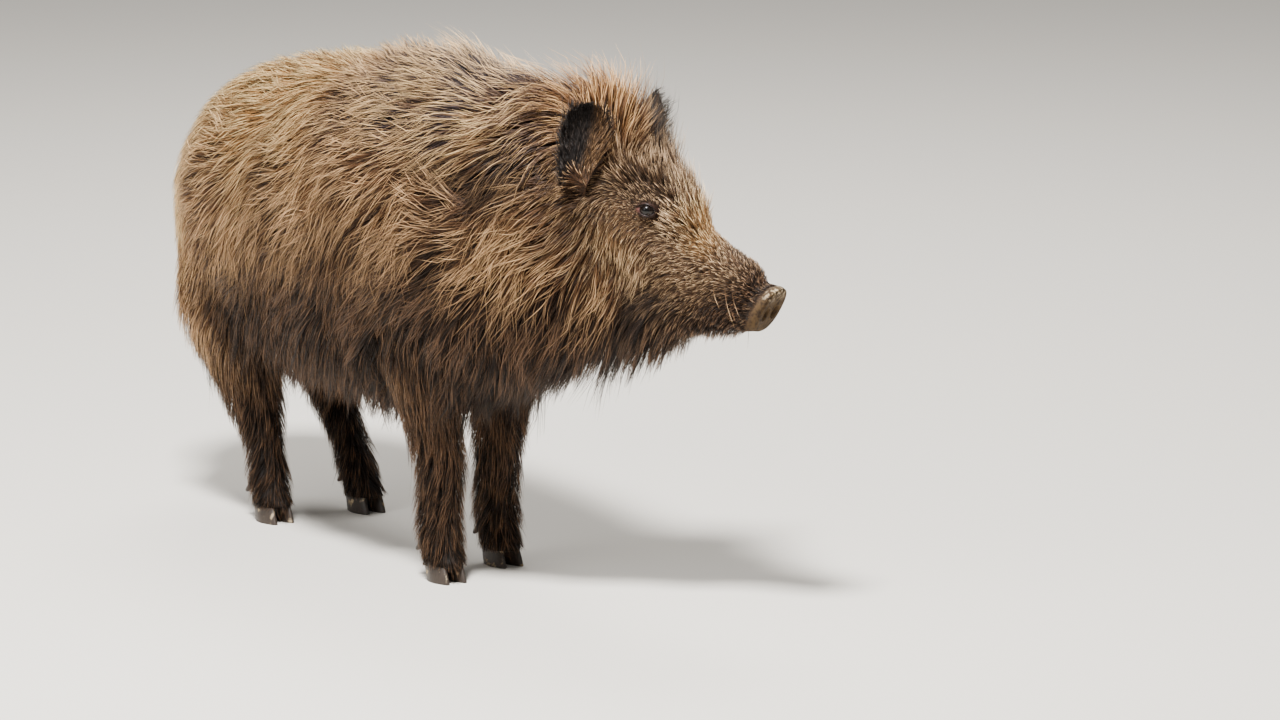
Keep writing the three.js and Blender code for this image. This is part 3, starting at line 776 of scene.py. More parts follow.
# Each zone of the coat: length, lift at the root and at the tip (degrees), how much it hangs,
# how much of the coat's depth it fills, width, waviness of its lie and curl (degrees), how far
# its tufts draw together at their tips, and tufts to a square centimetre.
hairKeys = ["length", "lift", "settle", "fall", "ride", "width", "wave", "curl", "clump", "density"]
coatZones = {
    "flank": (90, 22, 10, 0.25, 1.2, 1.7, 15, 32, 0.8, 5.2),
    "back": (84, 24, 12, 0.04, 1.2, 1.7, 13, 30, 0.7, 5.2),
    "mane": (96, 60, 42, 0.04, 1.15, 1.6, 8, 20, 0.5, 7.5),
    "rump": (82, 20, 10, 0.35, 1.2, 1.7, 14, 30, 0.75, 5.2),
    "belly": (120, 44, 28, 2.8, 2.6, 1.7, 15, 32, 1.6, 5.8),
    "breech": (112, 48, 34, 2.2, 3.4, 1.7, 13, 28, 1.6, 6.0),
    "neck": (88, 28, 14, 0.3, 1.25, 1.7, 15, 34, 0.75, 5.4),
    "shawl": (104, 42, 24, 1.0, 2.2, 1.7, 8, 34, 0.9, 6.4),
    "throat": (96, 40, 22, 2.4, 1.7, 1.6, 14, 30, 1.6, 6.8),
    "beard": (84, 50, 40, 3.2, 4.2, 1.5, 15, 30, 1.7, 11.0),
    "forelock": (64, 66, 56, 0.0, 9.0, 1.1, 12, 18, 0.4, 26.0),
    "ridge": (34, 46, 36, 0.0, 4.6, 1.05, 10, 20, 0.3, 18.0),
    "brow": (26, 32, 20, 0.0, 2.2, 1.1, 12, 20, 0.35, 16.0),
    "hollow": (56, 12, 8, 0.3, 0.5, 1.5, 15, 44, 0.7, 6.5),
    "cheek": (54, 24, 14, 0.6, 1.3, 1.4, 11, 24, 0.6, 8.5),
    "chin": (19, 44, 34, 1.8, 5.0, 0.9, 16, 24, 0.8, 16.0),
    "jowl": (30, 22, 12, 0.6, 1.5, 1.3, 10, 20, 0.5, 13.0),
    "crown": (84, 66, 44, 0.0, 1.5, 1.4, 8, 16, 0.4, 9.0),
    "face": (14, 15, 8, 0.2, 1.3, 0.95, 16, 22, 0.3, 26.0),
    "muzzle": (13, 30, 18, 0.3, 2.4, 1.0, 18, 24, 0.6, 17.0),
    "upperLeg": (82, 32, 18, 1.0, 2.4, 1.6, 11, 24, 0.8, 7.0),
    "lowerLeg": (44, 34, 22, 0.5, 3.8, 1.3, 12, 22, 0.8, 10.5),
    "fringe": (70, 50, 38, 1.0, 5.0, 1.3, 14, 28, 1.4, 12.0),
    "foot": (22, 18, 10, 0.1, 1.8, 1.2, 8, 14, 0.6, 11.0),
    "ear": (14, 18, 8, 0.0, 1.2, 1.1, 9, 16, 0.3, 16.0),
    "earRim": (34, 46, 34, 0.0, 10.0, 0.9, 9, 14, 0.35, 34.0),
    "earRoot": (30, 30, 16, 0.9, 3.0, 1.1, 14, 24, 0.5, 17.0),
    "tail": (112, 26, 16, 1.2, 2.6, 1.5, 12, 24, 0.8, 11.0),
}


def gapFromEyes():
    # 1 on the lids' edge, more outside it, less between the lids
    gap = np.full(len(own), 99.0)
    for side in (1, -1):
        gaze, slit, across = eyeAxes(side)
        away = fromEye(headBack, headOut, headHigh, side)
        near = np.sqrt(eyeOpening(dot(away, slit), dot(away, across)))
        gap = np.where(dot(away, gaze) > -25, np.minimum(gap, near), gap)
    return np.where(headOnly > 0, gap, 99)


eyeGap = gapFromEyes()
earRoots = [earPlace(np.zeros((1, 3)), name) for name in ("right", "left")]
earGap = np.min([np.linalg.norm(own - root, axis=1) for root in earRoots], 0)


# Over the shoulder the long hair ends along a hanging line, lowest at its middle; `overEdge` is
# the height over it, and under it lies a hollow of short hair, coloured dark as painted shadow
# under the hanging hair.
shawlValues = {"lowest": 614, "middle": 150, "rearSlope": 0.18, "frontSlope": 0.376}
slope = np.where(along < shawlValues["middle"], shawlValues["rearSlope"], shawlValues["frontSlope"])
overEdge = ownZ - shawlValues["lowest"] - slope * np.abs(along - shawlValues["middle"])
underShawl = smooth(overEdge, 30, 10) * smooth(overEdge, -58, -24)
underShawl = underShawl * smooth(along, 50, 130) * smooth(along, 335, 275)

limbMasks = {"trunk": trunkOnly, "head": headOnly, "legs": legOnly, "hindLegs": hindOnly, "ears": earOnly,
             "tail": tailOnly}
bodyPlaces = {
    # along the spine, up a section from -1 to 1, over the floor, and in the head's frame
    "along": along, "rise": rise, "floor": ownZ, "back": headBack, "high": headHigh, "out": headOut,
    "aside": np.abs(headOut), "reach": skin["reach"], "rim": np.abs(skin["rim"]), "earGap": earGap,
}
# Where each zone outweighs the others: its strength, its limb, and the soft steps that bound it,
# each a place on the body with the step's start and end. A zone may have more than one spot.
zoneSpots = [
    ("back", 4, "trunk", ("rise", 0.5, 0.85)),
    ("mane", 40, "trunk", ("rise", 0.9, 0.985), ("along", -420, -120)),
    ("rump", 6, "trunk", ("along", -480, -620)),
    ("belly", 16, "trunk", ("rise", -0.4, -0.8), ("along", 180, 60)),
    ("breech", 12, "trunk", ("along", -520, -600), ("rise", 0.0, -0.5)),
    ("breech", 12, "hindLegs", ("rise", -0.3, -0.75), ("floor", 250, 320)),
    ("neck", 5, "trunk", ("along", 20, 150)),
    ("throat", 20, "trunk", ("along", 90, 190), ("rise", -0.35, -0.8)),
    ("throat", 20, "head", ("back", 180, 225), ("rise", -0.3, -0.7)),
    ("shawl", 16, "trunk", ("along", -70, 10), ("along", 350, 300)),
    ("beard", 40, "head", ("back", 92, 150), ("back", 220, 190), ("rise", -0.4, -0.75)),
    ("jowl", 3, "head", ("back", 150, 200), ("high", -15, -45)),
    ("cheek", 8, "head", ("back", 190, 270), ("high", -20, -75)),
    ("cheek", 8, "head", ("back", 285, 325)),
    ("crown", 30, "head", ("back", 276, 312), ("rise", 0.5, 0.85), ("aside", 46, 24)),
    ("brow", 10, "head", ("back", 222, 250), ("high", 12, 34)),
    ("ridge", 16, "head", ("back", 140, 200), ("back", 290, 262), ("rise", 0.62, 0.9)),
    ("forelock", 60, "head", ("back", 234, 256), ("rise", 0.1, 0.4), ("out", 2, 24), ("back", 330, 300)),
    ("chin", 60, "head", ("back", 24, 36), ("back", 130, 90), ("rise", -0.62, -0.85)),
    ("muzzle", 9, "head", ("back", 130, 80)),
    ("upperLeg", 4, "legs"),
    ("lowerLeg", 30, "legs", ("floor", 270, 215)),
    ("foot", 90, "legs", ("floor", 95, 62)),
    ("fringe", 60, "legs", ("rise", -0.5, -0.85), ("floor", 90, 130), ("floor", 330, 250)),
    ("ear", 50, "ears", ("reach", -4, 10)),
    ("earRoot", 50, "ears", ("reach", 10, -4)),
    ("earRoot", 60, "head", ("earGap", 58, 40)),
    ("earRim", 600, "ears", ("rim", 0.86, 0.97), ("reach", 6, 22)),
    ("tail", 50, "tail"),
]


def zoneWeights():
    # a spot weighs its strength times its soft steps, on its own limb; flank and face lie under all
    z = {name: np.zeros(len(own)) for name in coatZones}
    z["flank"] = trunkOnly + 0.001
    z["face"] = headOnly + 0.001
    z["hollow"] = 14 * trunkOnly * underShawl
    for name, strength, limb, *steps in zoneSpots:
        spot = strength * limbMasks[limb]
        for place, start, end in steps:
            spot = spot * smooth(bodyPlaces[place], start, end)
        z[name] = z[name] + spot
    z["shawl"] = z["shawl"] * hump(overEdge, 62, 32)
    return z


def hairFields():
    # each value of the coat is the mean of its zones' values by their weights, softened, and the
    # hair gets short towards the eyes and ends at the lids, the snout's disc and the hooves
    weights = zoneWeights()
    total = sum(weights.values())
    table = np.stack([sum(weights[z] * coatZones[z][i] for z in coatZones) / total
                      for i in range(len(hairKeys))], -1)
    fields = dict(zip(hairKeys, spreadOut(table, 8).T))
    fields["length"] = fields["length"] * (0.22 + 0.78 * smooth(eyeGap, 1.6, 5.5))
    fields["density"] = fields["density"] * smooth(eyeGap, 1.32, 1.45) * (skin["bare"] < 0.5)
    fields["density"] = fields["density"] * np.where(legOnly > 0, smooth(ownZ, 30, 36), 1)
    return fields


hair = hairFields()


def lineGap(start, end):
    # how far each point of the head lies, seen from its side, from a line between two places
    x, y = headBack - start[0], headHigh - start[1]
    u, v = end[0] - start[0], end[1] - start[1]
    share = np.clip((x * u + y * v) / (u * u + v * v), 0, 1)
    return np.hypot(x - share * u, y - share * v)


def most(*spots):
    # the greatest of a few masks at each point
    return np.maximum.reduce(spots)


def markings():
    # Soft masks of the coat's colours; the gold, dark and black ones also hold painted light and shade.
    # Each is the greatest of its spots, and a spot is a product of soft steps over places on the body,
    # in millimetres, or over the rise from -1 to 1. Wavy noise, wide and fine, keeps their edges from being
    # lines.
    wide, fine = ripple(own, 170, 3), ripple(own, 60, 4)
    loose = 0.5 * wide + 0.3 * fine
    goldAndPaintedLight = most(
        # painted light on the tops of the back, rump and snout bridge; golden hanging edge, cheek and neck
        trunkOnly * smooth(rise + 0.16 * loose, 0.25, 0.85) * smooth(along + 40 * loose, -90, -270),
        0.85 * trunkOnly * smooth(along, -480, -620) * smooth(ownZ + 40 * loose, 340, 520),
        0.75 * headOnly * smooth(rise + 0.1 * fine, 0.4, 0.92) * smooth(headBack, 100, 130)
        * smooth(headBack, 190, 145),
        0.75 * trunkOnly * hump(overEdge, 50, 26) * smooth(along, -60, 20) * smooth(along, 340, 290),
        0.2 * headOnly * smooth(headBack, 190, 240) * hump(rise, 0.15, 0.35),
        0.2 * trunkOnly * smooth(along, 150, 230) * hump(rise, 0.25, 0.35))
    # grey over the withers, ginger on the crown and behind it
    slate = trunkOnly * hump(along + 30 * loose, 60, 210) * smooth(ownZ + 45 * loose, 625, 680)
    slate = slate * smooth(along, 270, 190)
    ginger = most(headOnly * smooth(headBack, 255, 305) * smooth(headHigh, 10, 60),
                  trunkOnly * smooth(along, 215, 290) * smooth(rise, 0.3, 0.7))
    # darker hair and painted shade rise from below: each level is a height whose edge bends with the body
    level = ownZ + 60 * loose - 78 * smooth(along, 40, 240) + 170 * smooth(along, -340, -560)
    level = level - 48 * smooth(along, -370, -270) * (0.4 + 0.6 * smooth(along, 150, 70))
    headLevel = ownZ + 16 * loose + 0.7 * (210 - headBack) - 24 * smooth(headBack, 205, 250)
    legLevel = ownZ + 30 * loose + 70 * hindOnly
    tears = np.minimum(lineGap((207, 6), (190, -2)), lineGap((190, -2), (181, -20)))
    brow = smooth(headBack, 176, 216) * smooth(headBack, 300, 280) * smooth(headHigh + 6 * fine, -4, 12)
    # dark legs and tail, dark marks on the face, and painted shade low on the body and under the hanging
    # hair
    darkAndPaintedShade = most(
        trunkOnly * smooth(level, 560, 375), 0.95 * trunkOnly * underShawl,
        legOnly * smooth(legLevel, 440, 320), tailOnly, headOnly * smooth(headLevel, 526, 452),
        # the line of the tears, round the eye, round the ear, the brow and the ears' roots
        headOnly * hump(tears, 0, 3.2), 0.6 * headOnly * smooth(eyeGap, 4.2, 1.8),
        0.7 * headOnly * smooth(earGap, 66, 40), 0.62 * headOnly * brow,
        0.6 * earOnly * smooth(skin["reach"], 6, -8))
    face = headOnly * smooth(headBack, 330, 270) * (1 - ginger)
    wetBack = headBack + 8 * fine + 32 * smooth(rise, -0.2, 0.7)
    wet = headOnly * smooth(wetBack, 120, 66) * (1 - skin["bare"])
    # the ears are black, and ochre within the front rim
    earBlack = earOnly * smooth(skin["reach"] + 28 * smooth(skin["rim"], 0.1, -0.5), 2, 18)
    ochre = earBlack * smooth(-rise, 0, 1) * smooth(skin["rim"], 0.05, 0.5)
    ochre = ochre * most(smooth(skin["rim"], 0.92, 0.6), smooth(skin["reach"], 82, 52))
    ochre = ochre * (1 - 0.8 * onLimb("ear_left"))
    temple = smooth(headOut, -24, 4) * smooth(headBack, 244, 262) * smooth(headBack, 326, 304)
    chest = smooth(along, 60, 140)
    # black ears and left temple; painted shade under the hanging hair, the belly, the chest and the jaw
    blackAndPaintedShade = most(
        earBlack, 0.45 * trunkOnly * underShawl, headOnly * temple * smooth(headHigh, 16, 40),
        trunkOnly * smooth(rise + 0.15 * chest, -0.42, -0.85) * (0.5 + 0.4 * chest),
        0.9 * headOnly * smooth(headBack, 110, 180) * smooth(rise, -0.16, -0.52))
    fields = dict(goldAndPaintedLight=goldAndPaintedLight, slate=slate, ginger=ginger, darkAndPaintedShade=darkAndPaintedShade, face=face, wet=wet, blackAndPaintedShade=blackAndPaintedShade)
    fields = {name: np.clip(spreadOut(f, 5), 0, 1) for name, f in fields.items()}
    fields["ochre"] = np.clip(ochre, 0, 1)
    return fields


marks = markings()


def bareMarks():
    # the lids' dark edge, the rosy corner of the eye, painted shade inside the nostrils, and the disc's
    # upper rim
    rosy = np.zeros(len(own))
    for side in (1, -1):
        gaze, slit, across = eyeAxes(side)
        away = fromEye(headBack, headOut, headHigh, side)
        corner = hump(dot(away, slit), -12.5, 3.5) * hump(dot(away, across), -2, 5)
        rosy += corner * (np.abs(dot(away, gaze)) < 16)
    return dict(lid=smooth(eyeGap, 1.75, 1.35), rosy=rosy * headOnly * 0.55,
                deep=smooth(skin["hollow"], 0.25, 0.8), discRim=skin["bare"] * smooth(headHigh, -26, -6))


setValues(skinPiece.data, **marks, **bareMarks())


def neighbourTable(size):
    # each vertex with its nearest neighbours, itself filling the empty places
    a, b = np.concatenate([skin["edges"], skin["edges"][:, ::-1]]).T
    order = np.argsort(a, kind="stable")
    a, b = a[order], b[order]
    first = np.searchsorted(a, np.arange(len(own)))
    place = np.arange(len(a)) - first[a]
    table = np.repeat(np.arange(len(own))[:, None], size, 1)
    fits = place < size - 1
    table[a[fits], place[fits] + 1] = b[fits]
    return table


skin["near"] = neighbourTable(12)

combValues = {
    "walk": 7,                          # vertices that a hair's point may pass in one step
    "curlStart": 0.25,                  # the share of a hair where its curl is nothing
    "liftFade": 1.4,
    "lowGap": 0.6, "lowShare": 0.18,    # least height over the skin, and the coat's share at the tip
    "highGap": 1, "highRoot": 0.25,     # greatest height past the coat, and the coat's share at the root
    "floor": 3, "top": 788,             # least and greatest height over the floor
}


def walkTo(here, target):
    # from vertex to vertex over the skin, as long as that comes nearer to the target
    for _ in range(combValues["walk"]):
        near = skin["near"][here]
        gap = ((own[near] - target[:, None]) ** 2).sum(-1)
        here = near[np.arange(len(here)), gap.argmin(1)]
    return here


def combed(place, vertex, h, rings):
    # Carries hairs from their roots, one step to each ring: every step follows the lie of the
    # coat turned by `turn` and `curl`, lifted off the skin less and less, drawn down by `fall`,
    # and kept between the skin and the height that the coat has there.
    v, point, here = combValues, place, vertex
    path, normals = [point], [skin["normal"][vertex]]
    for ring in range(rings):
        share, end = (ring + 0.5) / rings, (ring + 1) / rings
        normal, flow = skin["normal"][here], skin["flow"][here]
        angle = (h["turn"] + h["curl"] * (share - v["curlStart"]))[:, None]
        onward = flow * np.cos(angle) + np.cross(normal, flow) * np.sin(angle)
        lift = (h["lift"] * (1 - share) ** v["liftFade"] + h["settle"] * share)[:, None]
        onward = onward * np.cos(lift) + normal * np.sin(lift)
        onward = unit(onward + (h["fall"] * share)[:, None] * [0, 0, -1])
        point = point + onward * (h["length"] / rings)[:, None]
        here = walkTo(here, point)
        normal, coat = skin["normal"][here], h["ride"] * skin["coat"][here]
        height = dot(point - own[here], normal)
        lowest = v["lowGap"] + v["lowShare"] * coat * end
        highest = coat * (v["highRoot"] + (1 - v["highRoot"]) * end) + v["highGap"]
        wanted = np.clip(height, lowest, np.maximum(highest, lowest))
        point = point + normal * (wanted - height)[:, None]
        point[:, 2] = np.clip(point[:, 2], v["floor"], v["top"])
        path.append(point)
        normals.append(normal)
    return np.stack(path, 1), np.stack(normals, 1)


corners = skin["triangles"]
cornerPoints = own[corners]
sides = cornerPoints[:, 1:] - cornerPoints[:, :1]
faceArea = np.linalg.norm(np.cross(sides[:, 0], sides[:, 1]), axis=-1) / 200  # square centimetres


def scattered(weight, count):
    # roots spread over the skin's triangles, as many to an area as the weight says
    total = np.cumsum(faceArea * weight[corners].mean(1))
    draw = (np.arange(count) + rng.random(count)) / count * total[-1]
    face = np.minimum(np.searchsorted(total, draw), len(total) - 1)
    a, b = rng.random((2, count))
    a, b = np.where(a + b > 1, 1 - a, a), np.where(a + b > 1, 1 - b, b)
    share = np.stack([1 - a - b, a, b], -1)
    place = (cornerPoints[face] * share[..., None]).sum(1)
    return place, corners[face, share.argmax(1)]


def nearestOf(points, others):
    # |p - q| is least where p.q - q.q / 2 is greatest, in parts that fit in memory
    half = (others ** 2).sum(1) / 2
    parts = np.array_split(points.astype(np.float32), len(points) // 3000 + 1)
    others = others.astype(np.float32)
    return np.concatenate([(part @ others.T - half).argmax(1) for part in parts])


swayValues = {
    # the waves that hairs share over the body, as size and seed, and the share of each
    "wide": (150, 5), "fine": (48, 6), "fineShare": 0.5, "curl": (90, 7), "curlShare": 0.8,
    "settle": 0.06, "uneven": 1.1,  # uneven: how much more the lengths differ where tufts clump
}
lockValues = {
    # the spread of each lock's own changes; as painted light and shade, high locks are paler and low ones
    # darker; clumped ones are fewer
    "turn": 0.6, "curl": 0.7, "lift": 0.25, "length": 0.19, "ride": (0.5, 1.0), "shade": 0.5,
    "middleRide": 0.82, "rideShade": 4.5, "spare": 2,
}
tuftValues = {
    # the spread of each tuft's changes, how it draws to its lock, and its section
    "turn": 0.35, "curl": 0.35, "lift": 0.2, "length": 0.16, "tint": 0.7, "tintEnds": (-3, 2.5),
    "pull": (0.5, 1.2), "pullPower": 1.5, "width": (0.6, 1.2), "roll": 0.3,
    "root": 0.55, "low": 0.12, "high": 0.3,
}
swings = ("turn", "curl", "lift", "length")


def hairValues(at, places, extra):
    # the coat's values at some vertices, with each hair's own changes
    v = swayValues
    h = {key: hair[key][at].copy() for key in hairKeys}
    swing = ripple(places, *v["wide"]) + v["fineShare"] * ripple(places, *v["fine"])
    h["turn"] = np.radians(h["wave"] * (swing + extra["turn"]))
    h["curl"] = np.radians(h["curl"] * (v["curlShare"] * ripple(places, *v["curl"]) + extra["curl"]))
    h["lift"] = np.radians(h["lift"]) * np.exp(extra["lift"])
    h["settle"] = np.radians(h["settle"]) + v["settle"] * extra["lift"]
    uneven = 1 + v["uneven"] * np.maximum(h["clump"] - 1, 0)
    h["length"] = h["length"] * np.exp(extra["length"] * uneven)
    h["ride"] = h["ride"] * extra["ride"]
    return h


def locksOf(weight, count):
    # one guide hair for each lock, whose swing and curl its tufts share; fewer where they clump most
    v = lockValues
    spare = 1 + v["spare"] * np.maximum(hair["clump"] - 1, 0)
    place, vertex = scattered(weight * hair["density"] / spare, count)
    locks = {key: rng.normal(0, v[key], count) for key in swings}
    locks["ride"] = rng.uniform(*v["ride"], count)
    locks["shade"] = rng.normal(0, v["shade"], count)
    return {**locks, "place": place, "vertex": vertex}


def tuftPaths(v, layer, weight, locks, count):
    # the tufts of one layer: each takes its lock's swing and draws towards the lock's guide
    place, vertex = scattered(weight * hair["density"], count)
    rings, each = layer["rings"], tuftValues
    guides, _ = combed(locks["place"], locks["vertex"],
                       hairValues(locks["vertex"], locks["place"], locks), rings)
    lock = nearestOf(place, locks["place"])
    mine = {key: locks[key][lock] + rng.normal(0, each[key], count) for key in swings}
    mine["length"] = mine["length"] + layer["longer"] * (not v["short"])
    mine["ride"] = rng.uniform(*layer["ride"], count) * (1 - layer["sink"] * (1 - locks["ride"][lock]))
    path, normals = combed(place, vertex, hairValues(vertex, place, mine), rings)
    share = np.linspace(0, 1, rings + 1)[None, :, None]
    pull = (hair["clump"][vertex] * rng.uniform(*each["pull"], count) * layer["pull"])[:, None, None]
    path = path + (guides[lock] - path) * np.clip(pull * share ** each["pullPower"], 0, 0.95)
    path[:, 1:-1] = (path[:, :-2] + 2 * path[:, 1:-1] + path[:, 2:]) / 4
    # painted light and shade: a lock that rides high is paler, one that lies low darker
    shade = lockValues["rideShade"] * (locks["ride"] - lockValues["middleRide"]) + locks["shade"]
    tint = shade[lock] * layer["lockShade"] + rng.normal(layer["tint"], each["tint"], count)
    tone = rng.uniform(*layer["tone"], count)
    width = hair["width"][vertex] * rng.uniform(*each["width"], count) * layer["width"]
    return path, normals, vertex, width, np.clip(tint, *each["tintEnds"]), tone


def tuftTemplate(rings):
    # the faces of one tuft: a closed three-sided taper from a small triangle to a point
    ring = np.arange(rings - 1)[:, None] * 3
    faces = [[0, 2, 1]]
    for p, q in ((0, 2), (2, 1), (1, 0)):
        faces += np.concatenate([np.stack([ring + p, ring + 3 + p, ring + 3 + q], -1)[:, 0],
                                 np.stack([ring + p, ring + 3 + q, ring + q], -1)[:, 0]]).tolist()
        faces.append([3 * (rings - 1) + p, 3 * rings, 3 * (rings - 1) + q])
    return np.array(faces)


bakeValues = {"patch": 0.003, "stray": 0.002, "slant": 0.06}  # one tuft's patch on the bake's map


def tuftPoints(path, normals, width):
    # three corners to a ring: two at the sides of the tuft's middle line and one over it, rolled a
    # little; the width grows near the root and falls to the tip with 1 - share^2
    v, count, rings = tuftValues, len(path), path.shape[1] - 1
    onward = unit(np.gradient(path, axis=1))
    beside = unit(np.cross(onward, normals))
    over = np.cross(beside, onward)
    roll = rng.normal(0, v["roll"], count)[:, None, None]
    side = (beside * np.cos(roll) + over * np.sin(roll))[:, :-1]
    top = (over * np.cos(roll) - beside * np.sin(roll))[:, :-1]
    share = np.linspace(0, 1, rings + 1)[None, :-1, None]
    grown = v["root"] + (1 - v["root"]) * np.minimum(share * 4, 1)
    wide = width[:, None, None] * grown * (1 - share ** 2)
    middle = path[:, :-1]
    rim = [middle + side * wide / 2 - top * wide * v["low"],
           middle - side * wide / 2 - top * wide * v["low"], middle + top * wide * v["high"]]
    return np.concatenate([np.stack(rim, 2).reshape(count, -1, 3), path[:, -1:]], 1)


def bakeSpots(vertex, rings):
    # the map that the bake uses: every tuft is a small patch at its root's place on the skin
    v, patch = bakeValues, bakeValues["patch"]
    reach, turn = skin["reach"][vertex], skin["turn"][vertex] + np.round(skin["limb"][vertex])
    root = np.stack([(place - place.min()) / max(np.ptp(place), 1e-6) for place in (reach, turn)], -1)
    root = root * (1 - patch) + rng.uniform(-v["stray"], v["stray"], root.shape)
    across = np.append(np.tile([0.0, 1.0, 0.5], rings), 0.5)
    upwards = np.append(np.repeat(np.arange(rings) / rings, 3) + np.tile([0, 0, v["slant"]], rings), 1.0)
    return np.clip(root, 0, 1 - patch)[:, None] + np.stack([across, upwards], -1) * patch


def tuftsPiece(name, path, normals, vertex, width, tint, tone, slot):
    # one piece of the coat: its mesh, its values from root to tip, and its map
    count, rings = len(path), path.shape[1] - 1
    points = tuftPoints(path, normals, width)
    size = points.shape[1]
    triangles = (tuftTemplate(rings)[None] + np.arange(count)[:, None, None] * size).reshape(-1, 3)
    piece = makeTriangles(name, toFrame(points).reshape(-1, 3), triangles)
    alongTuft = np.append(np.repeat(np.arange(rings) / rings, 3), 1.0)
    each = {key: np.repeat(field[vertex], size) for key, field in marks.items()}
    setValues(piece.data, rootToTip=(alongTuft * tone[:, None]).ravel(), tint=np.repeat(tint, size), **each)
    spots = bakeSpots(vertex, rings).reshape(-1, 2)[triangles.ravel()]
    layer = piece.data.uv_layers.new(name="OFBake")
    layer.uv.foreach_set("vector", spots.astype(np.float32).ravel())
    piece.data.materials.append(coatMaterial)
    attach(piece, "root")
    print(name + ":", count, "tufts,", len(triangles), "triangles")
    return piece


# Shader groups and materials

def linear(red, green, blue):
    # a screen colour from 0 to 255 as the light that it stands for
    values = [c / 255 for c in (red, green, blue)]
    return [c / 12.92 if c < 0.04045 else ((c + 0.055) / 1.055) ** 2.4 for c in values] + [1]


# Root, middle and tip of the hair in each marking; a later marking lies over the ones before.
coatColours = {
    "Base": ((27, 17, 10), (86, 58, 36), (248, 202, 148)),
    "face": ((32, 22, 15), (92, 68, 47), (240, 204, 158)),
    # golden hair, and painted light on the top of the body and the snout
    "goldAndPaintedLight": ((56, 36, 20), (148, 107, 62), (255, 224, 164)),
    "slate": ((18, 16, 20), (46, 42, 49), (250, 206, 146)),
    "ginger": ((40, 26, 16), (106, 72, 43), (232, 182, 120)),
    # dark hair, and painted shade low on the body
    "darkAndPaintedShade": ((10, 7, 4), (32, 21, 13), (118, 88, 64)),
    "wet": ((13, 9, 6), (40, 27, 19), (150, 114, 84)),
    # black hair, and painted shade under the body and the jaw
    "blackAndPaintedShade": ((14, 11, 10), (24, 19, 17), (54, 43, 34)),
    "ochre": ((32, 23, 16), (84, 61, 40), (134, 101, 66)),
}
coatLook = {"stops": (0.0, 0.42, 0.86), "tintStep": 0.22, "rough": 0.45, "wetShine": 0.12}


def link(tree, *pairs):
    # one link for each pair of sockets
    for start, end in pairs:
        tree.links.new(start, end)


def feed(tree, *pairs):
    # each socket takes a plain value, or a link from another node
    for value, socket in pairs:
        if isinstance(value, bpy.types.NodeSocket):
            tree.links.new(value, socket)
        else:
            socket.default_value = value


def mathNode(tree, operation, first, second):
    # the sum, product or other outcome of two values
    node = tree.nodes.new("ShaderNodeMath")
    node.operation = operation
    feed(tree, (first, node.inputs[0]), (second, node.inputs[1]))
    return node.outputs[0]


def mixColour(tree, factor, first, second):
    # the first colour where the factor is 0, the second where it is 1
    node = tree.nodes.new("ShaderNodeMix")
    node.data_type = "RGBA"
    feed(tree, (factor, node.inputs[0]), (first, node.inputs[6]), (second, node.inputs[7]))
    return node.outputs[2]


def newGroup(name, inputs, outputs):
    # a shader group with its named inputs, their starting values, and its named outputs
    tree = bpy.data.node_groups.new(name, "ShaderNodeTree")
    for label, kind, start in inputs:
        made = tree.interface.new_socket(name=label, in_out="INPUT", socket_type=kind)
        made.default_value = start
    for label, kind in outputs:
        tree.interface.new_socket(name=label, in_out="OUTPUT", socket_type=kind)
    return tree, tree.nodes.new("NodeGroupInput"), tree.nodes.new("NodeGroupOutput")


def coatMarkingsGroup():
    # each marking's ramp from root to tip, laid over the last by its mask, then lightened or
    # darkened hair by hair
    masks = [name for name in coatColours if name != "Base"]
    inputs = [("Root to tip", "NodeSocketFloat", 0.5), ("Tint", "NodeSocketFloat", 0.0)]
    inputs += [(name, "NodeSocketFloat", 0.0) for name in masks]
    tree, into, outOf = newGroup("coatMarkings", inputs, [("Color", "NodeSocketColor")])
    colour = None
    for name, shades in coatColours.items():
        ramp = tree.nodes.new("ShaderNodeValToRGB")
        ramp.color_ramp.interpolation = "EASE"
        ramp.color_ramp.elements.new(0.5)
        for stop, place, shade in zip(ramp.color_ramp.elements, coatLook["stops"], shades):
            stop.position, stop.color = place, linear(*shade)
        link(tree, (into.outputs["Root to tip"], ramp.inputs[0]))
        if colour is None:
            colour = ramp.outputs[0]
        else:
            colour = mixColour(tree, into.outputs[name], colour, ramp.outputs[0])
    shaded = tree.nodes.new("ShaderNodeHueSaturation")
    step = mathNode(tree, "MULTIPLY", into.outputs["Tint"], coatLook["tintStep"])
    lighter = mathNode(tree, "ADD", step, 1.0)
    link(tree, (colour, shaded.inputs["Color"]), (lighter, shaded.inputs["Value"]),
         (shaded.outputs[0], outOf.inputs[0]))
    return tree


coatMarkings = coatMarkingsGroup()


def newMaterial(name, **sockets):
    # a material whose shader has some sockets set; an underscore stands for a space in their names
    made = bpy.data.materials.new(name)
    made.use_nodes = True
    shader = made.node_tree.nodes["Principled BSDF"]
    for label, value in sockets.items():
        shader.inputs[label.replace("_", " ")].default_value = value
    return made, made.node_tree, shader


def attributeNode(tree, name):
    # a value that the piece's own points carry
    node = tree.nodes.new("ShaderNodeAttribute")
    node.attribute_name = name
    return node.outputs["Fac"]


def markedColour(tree, rootToTip, tint):
    # the coat's markings read from the piece's own values
    group = tree.nodes.new("ShaderNodeGroup")
    group.node_tree = coatMarkings
    masks = [(attributeNode(tree, name), group.inputs[name]) for name in coatColours if name != "Base"]
    feed(tree, *masks, (rootToTip, group.inputs["Root to tip"]), (tint, group.inputs["Tint"]))
    return group.outputs[0]


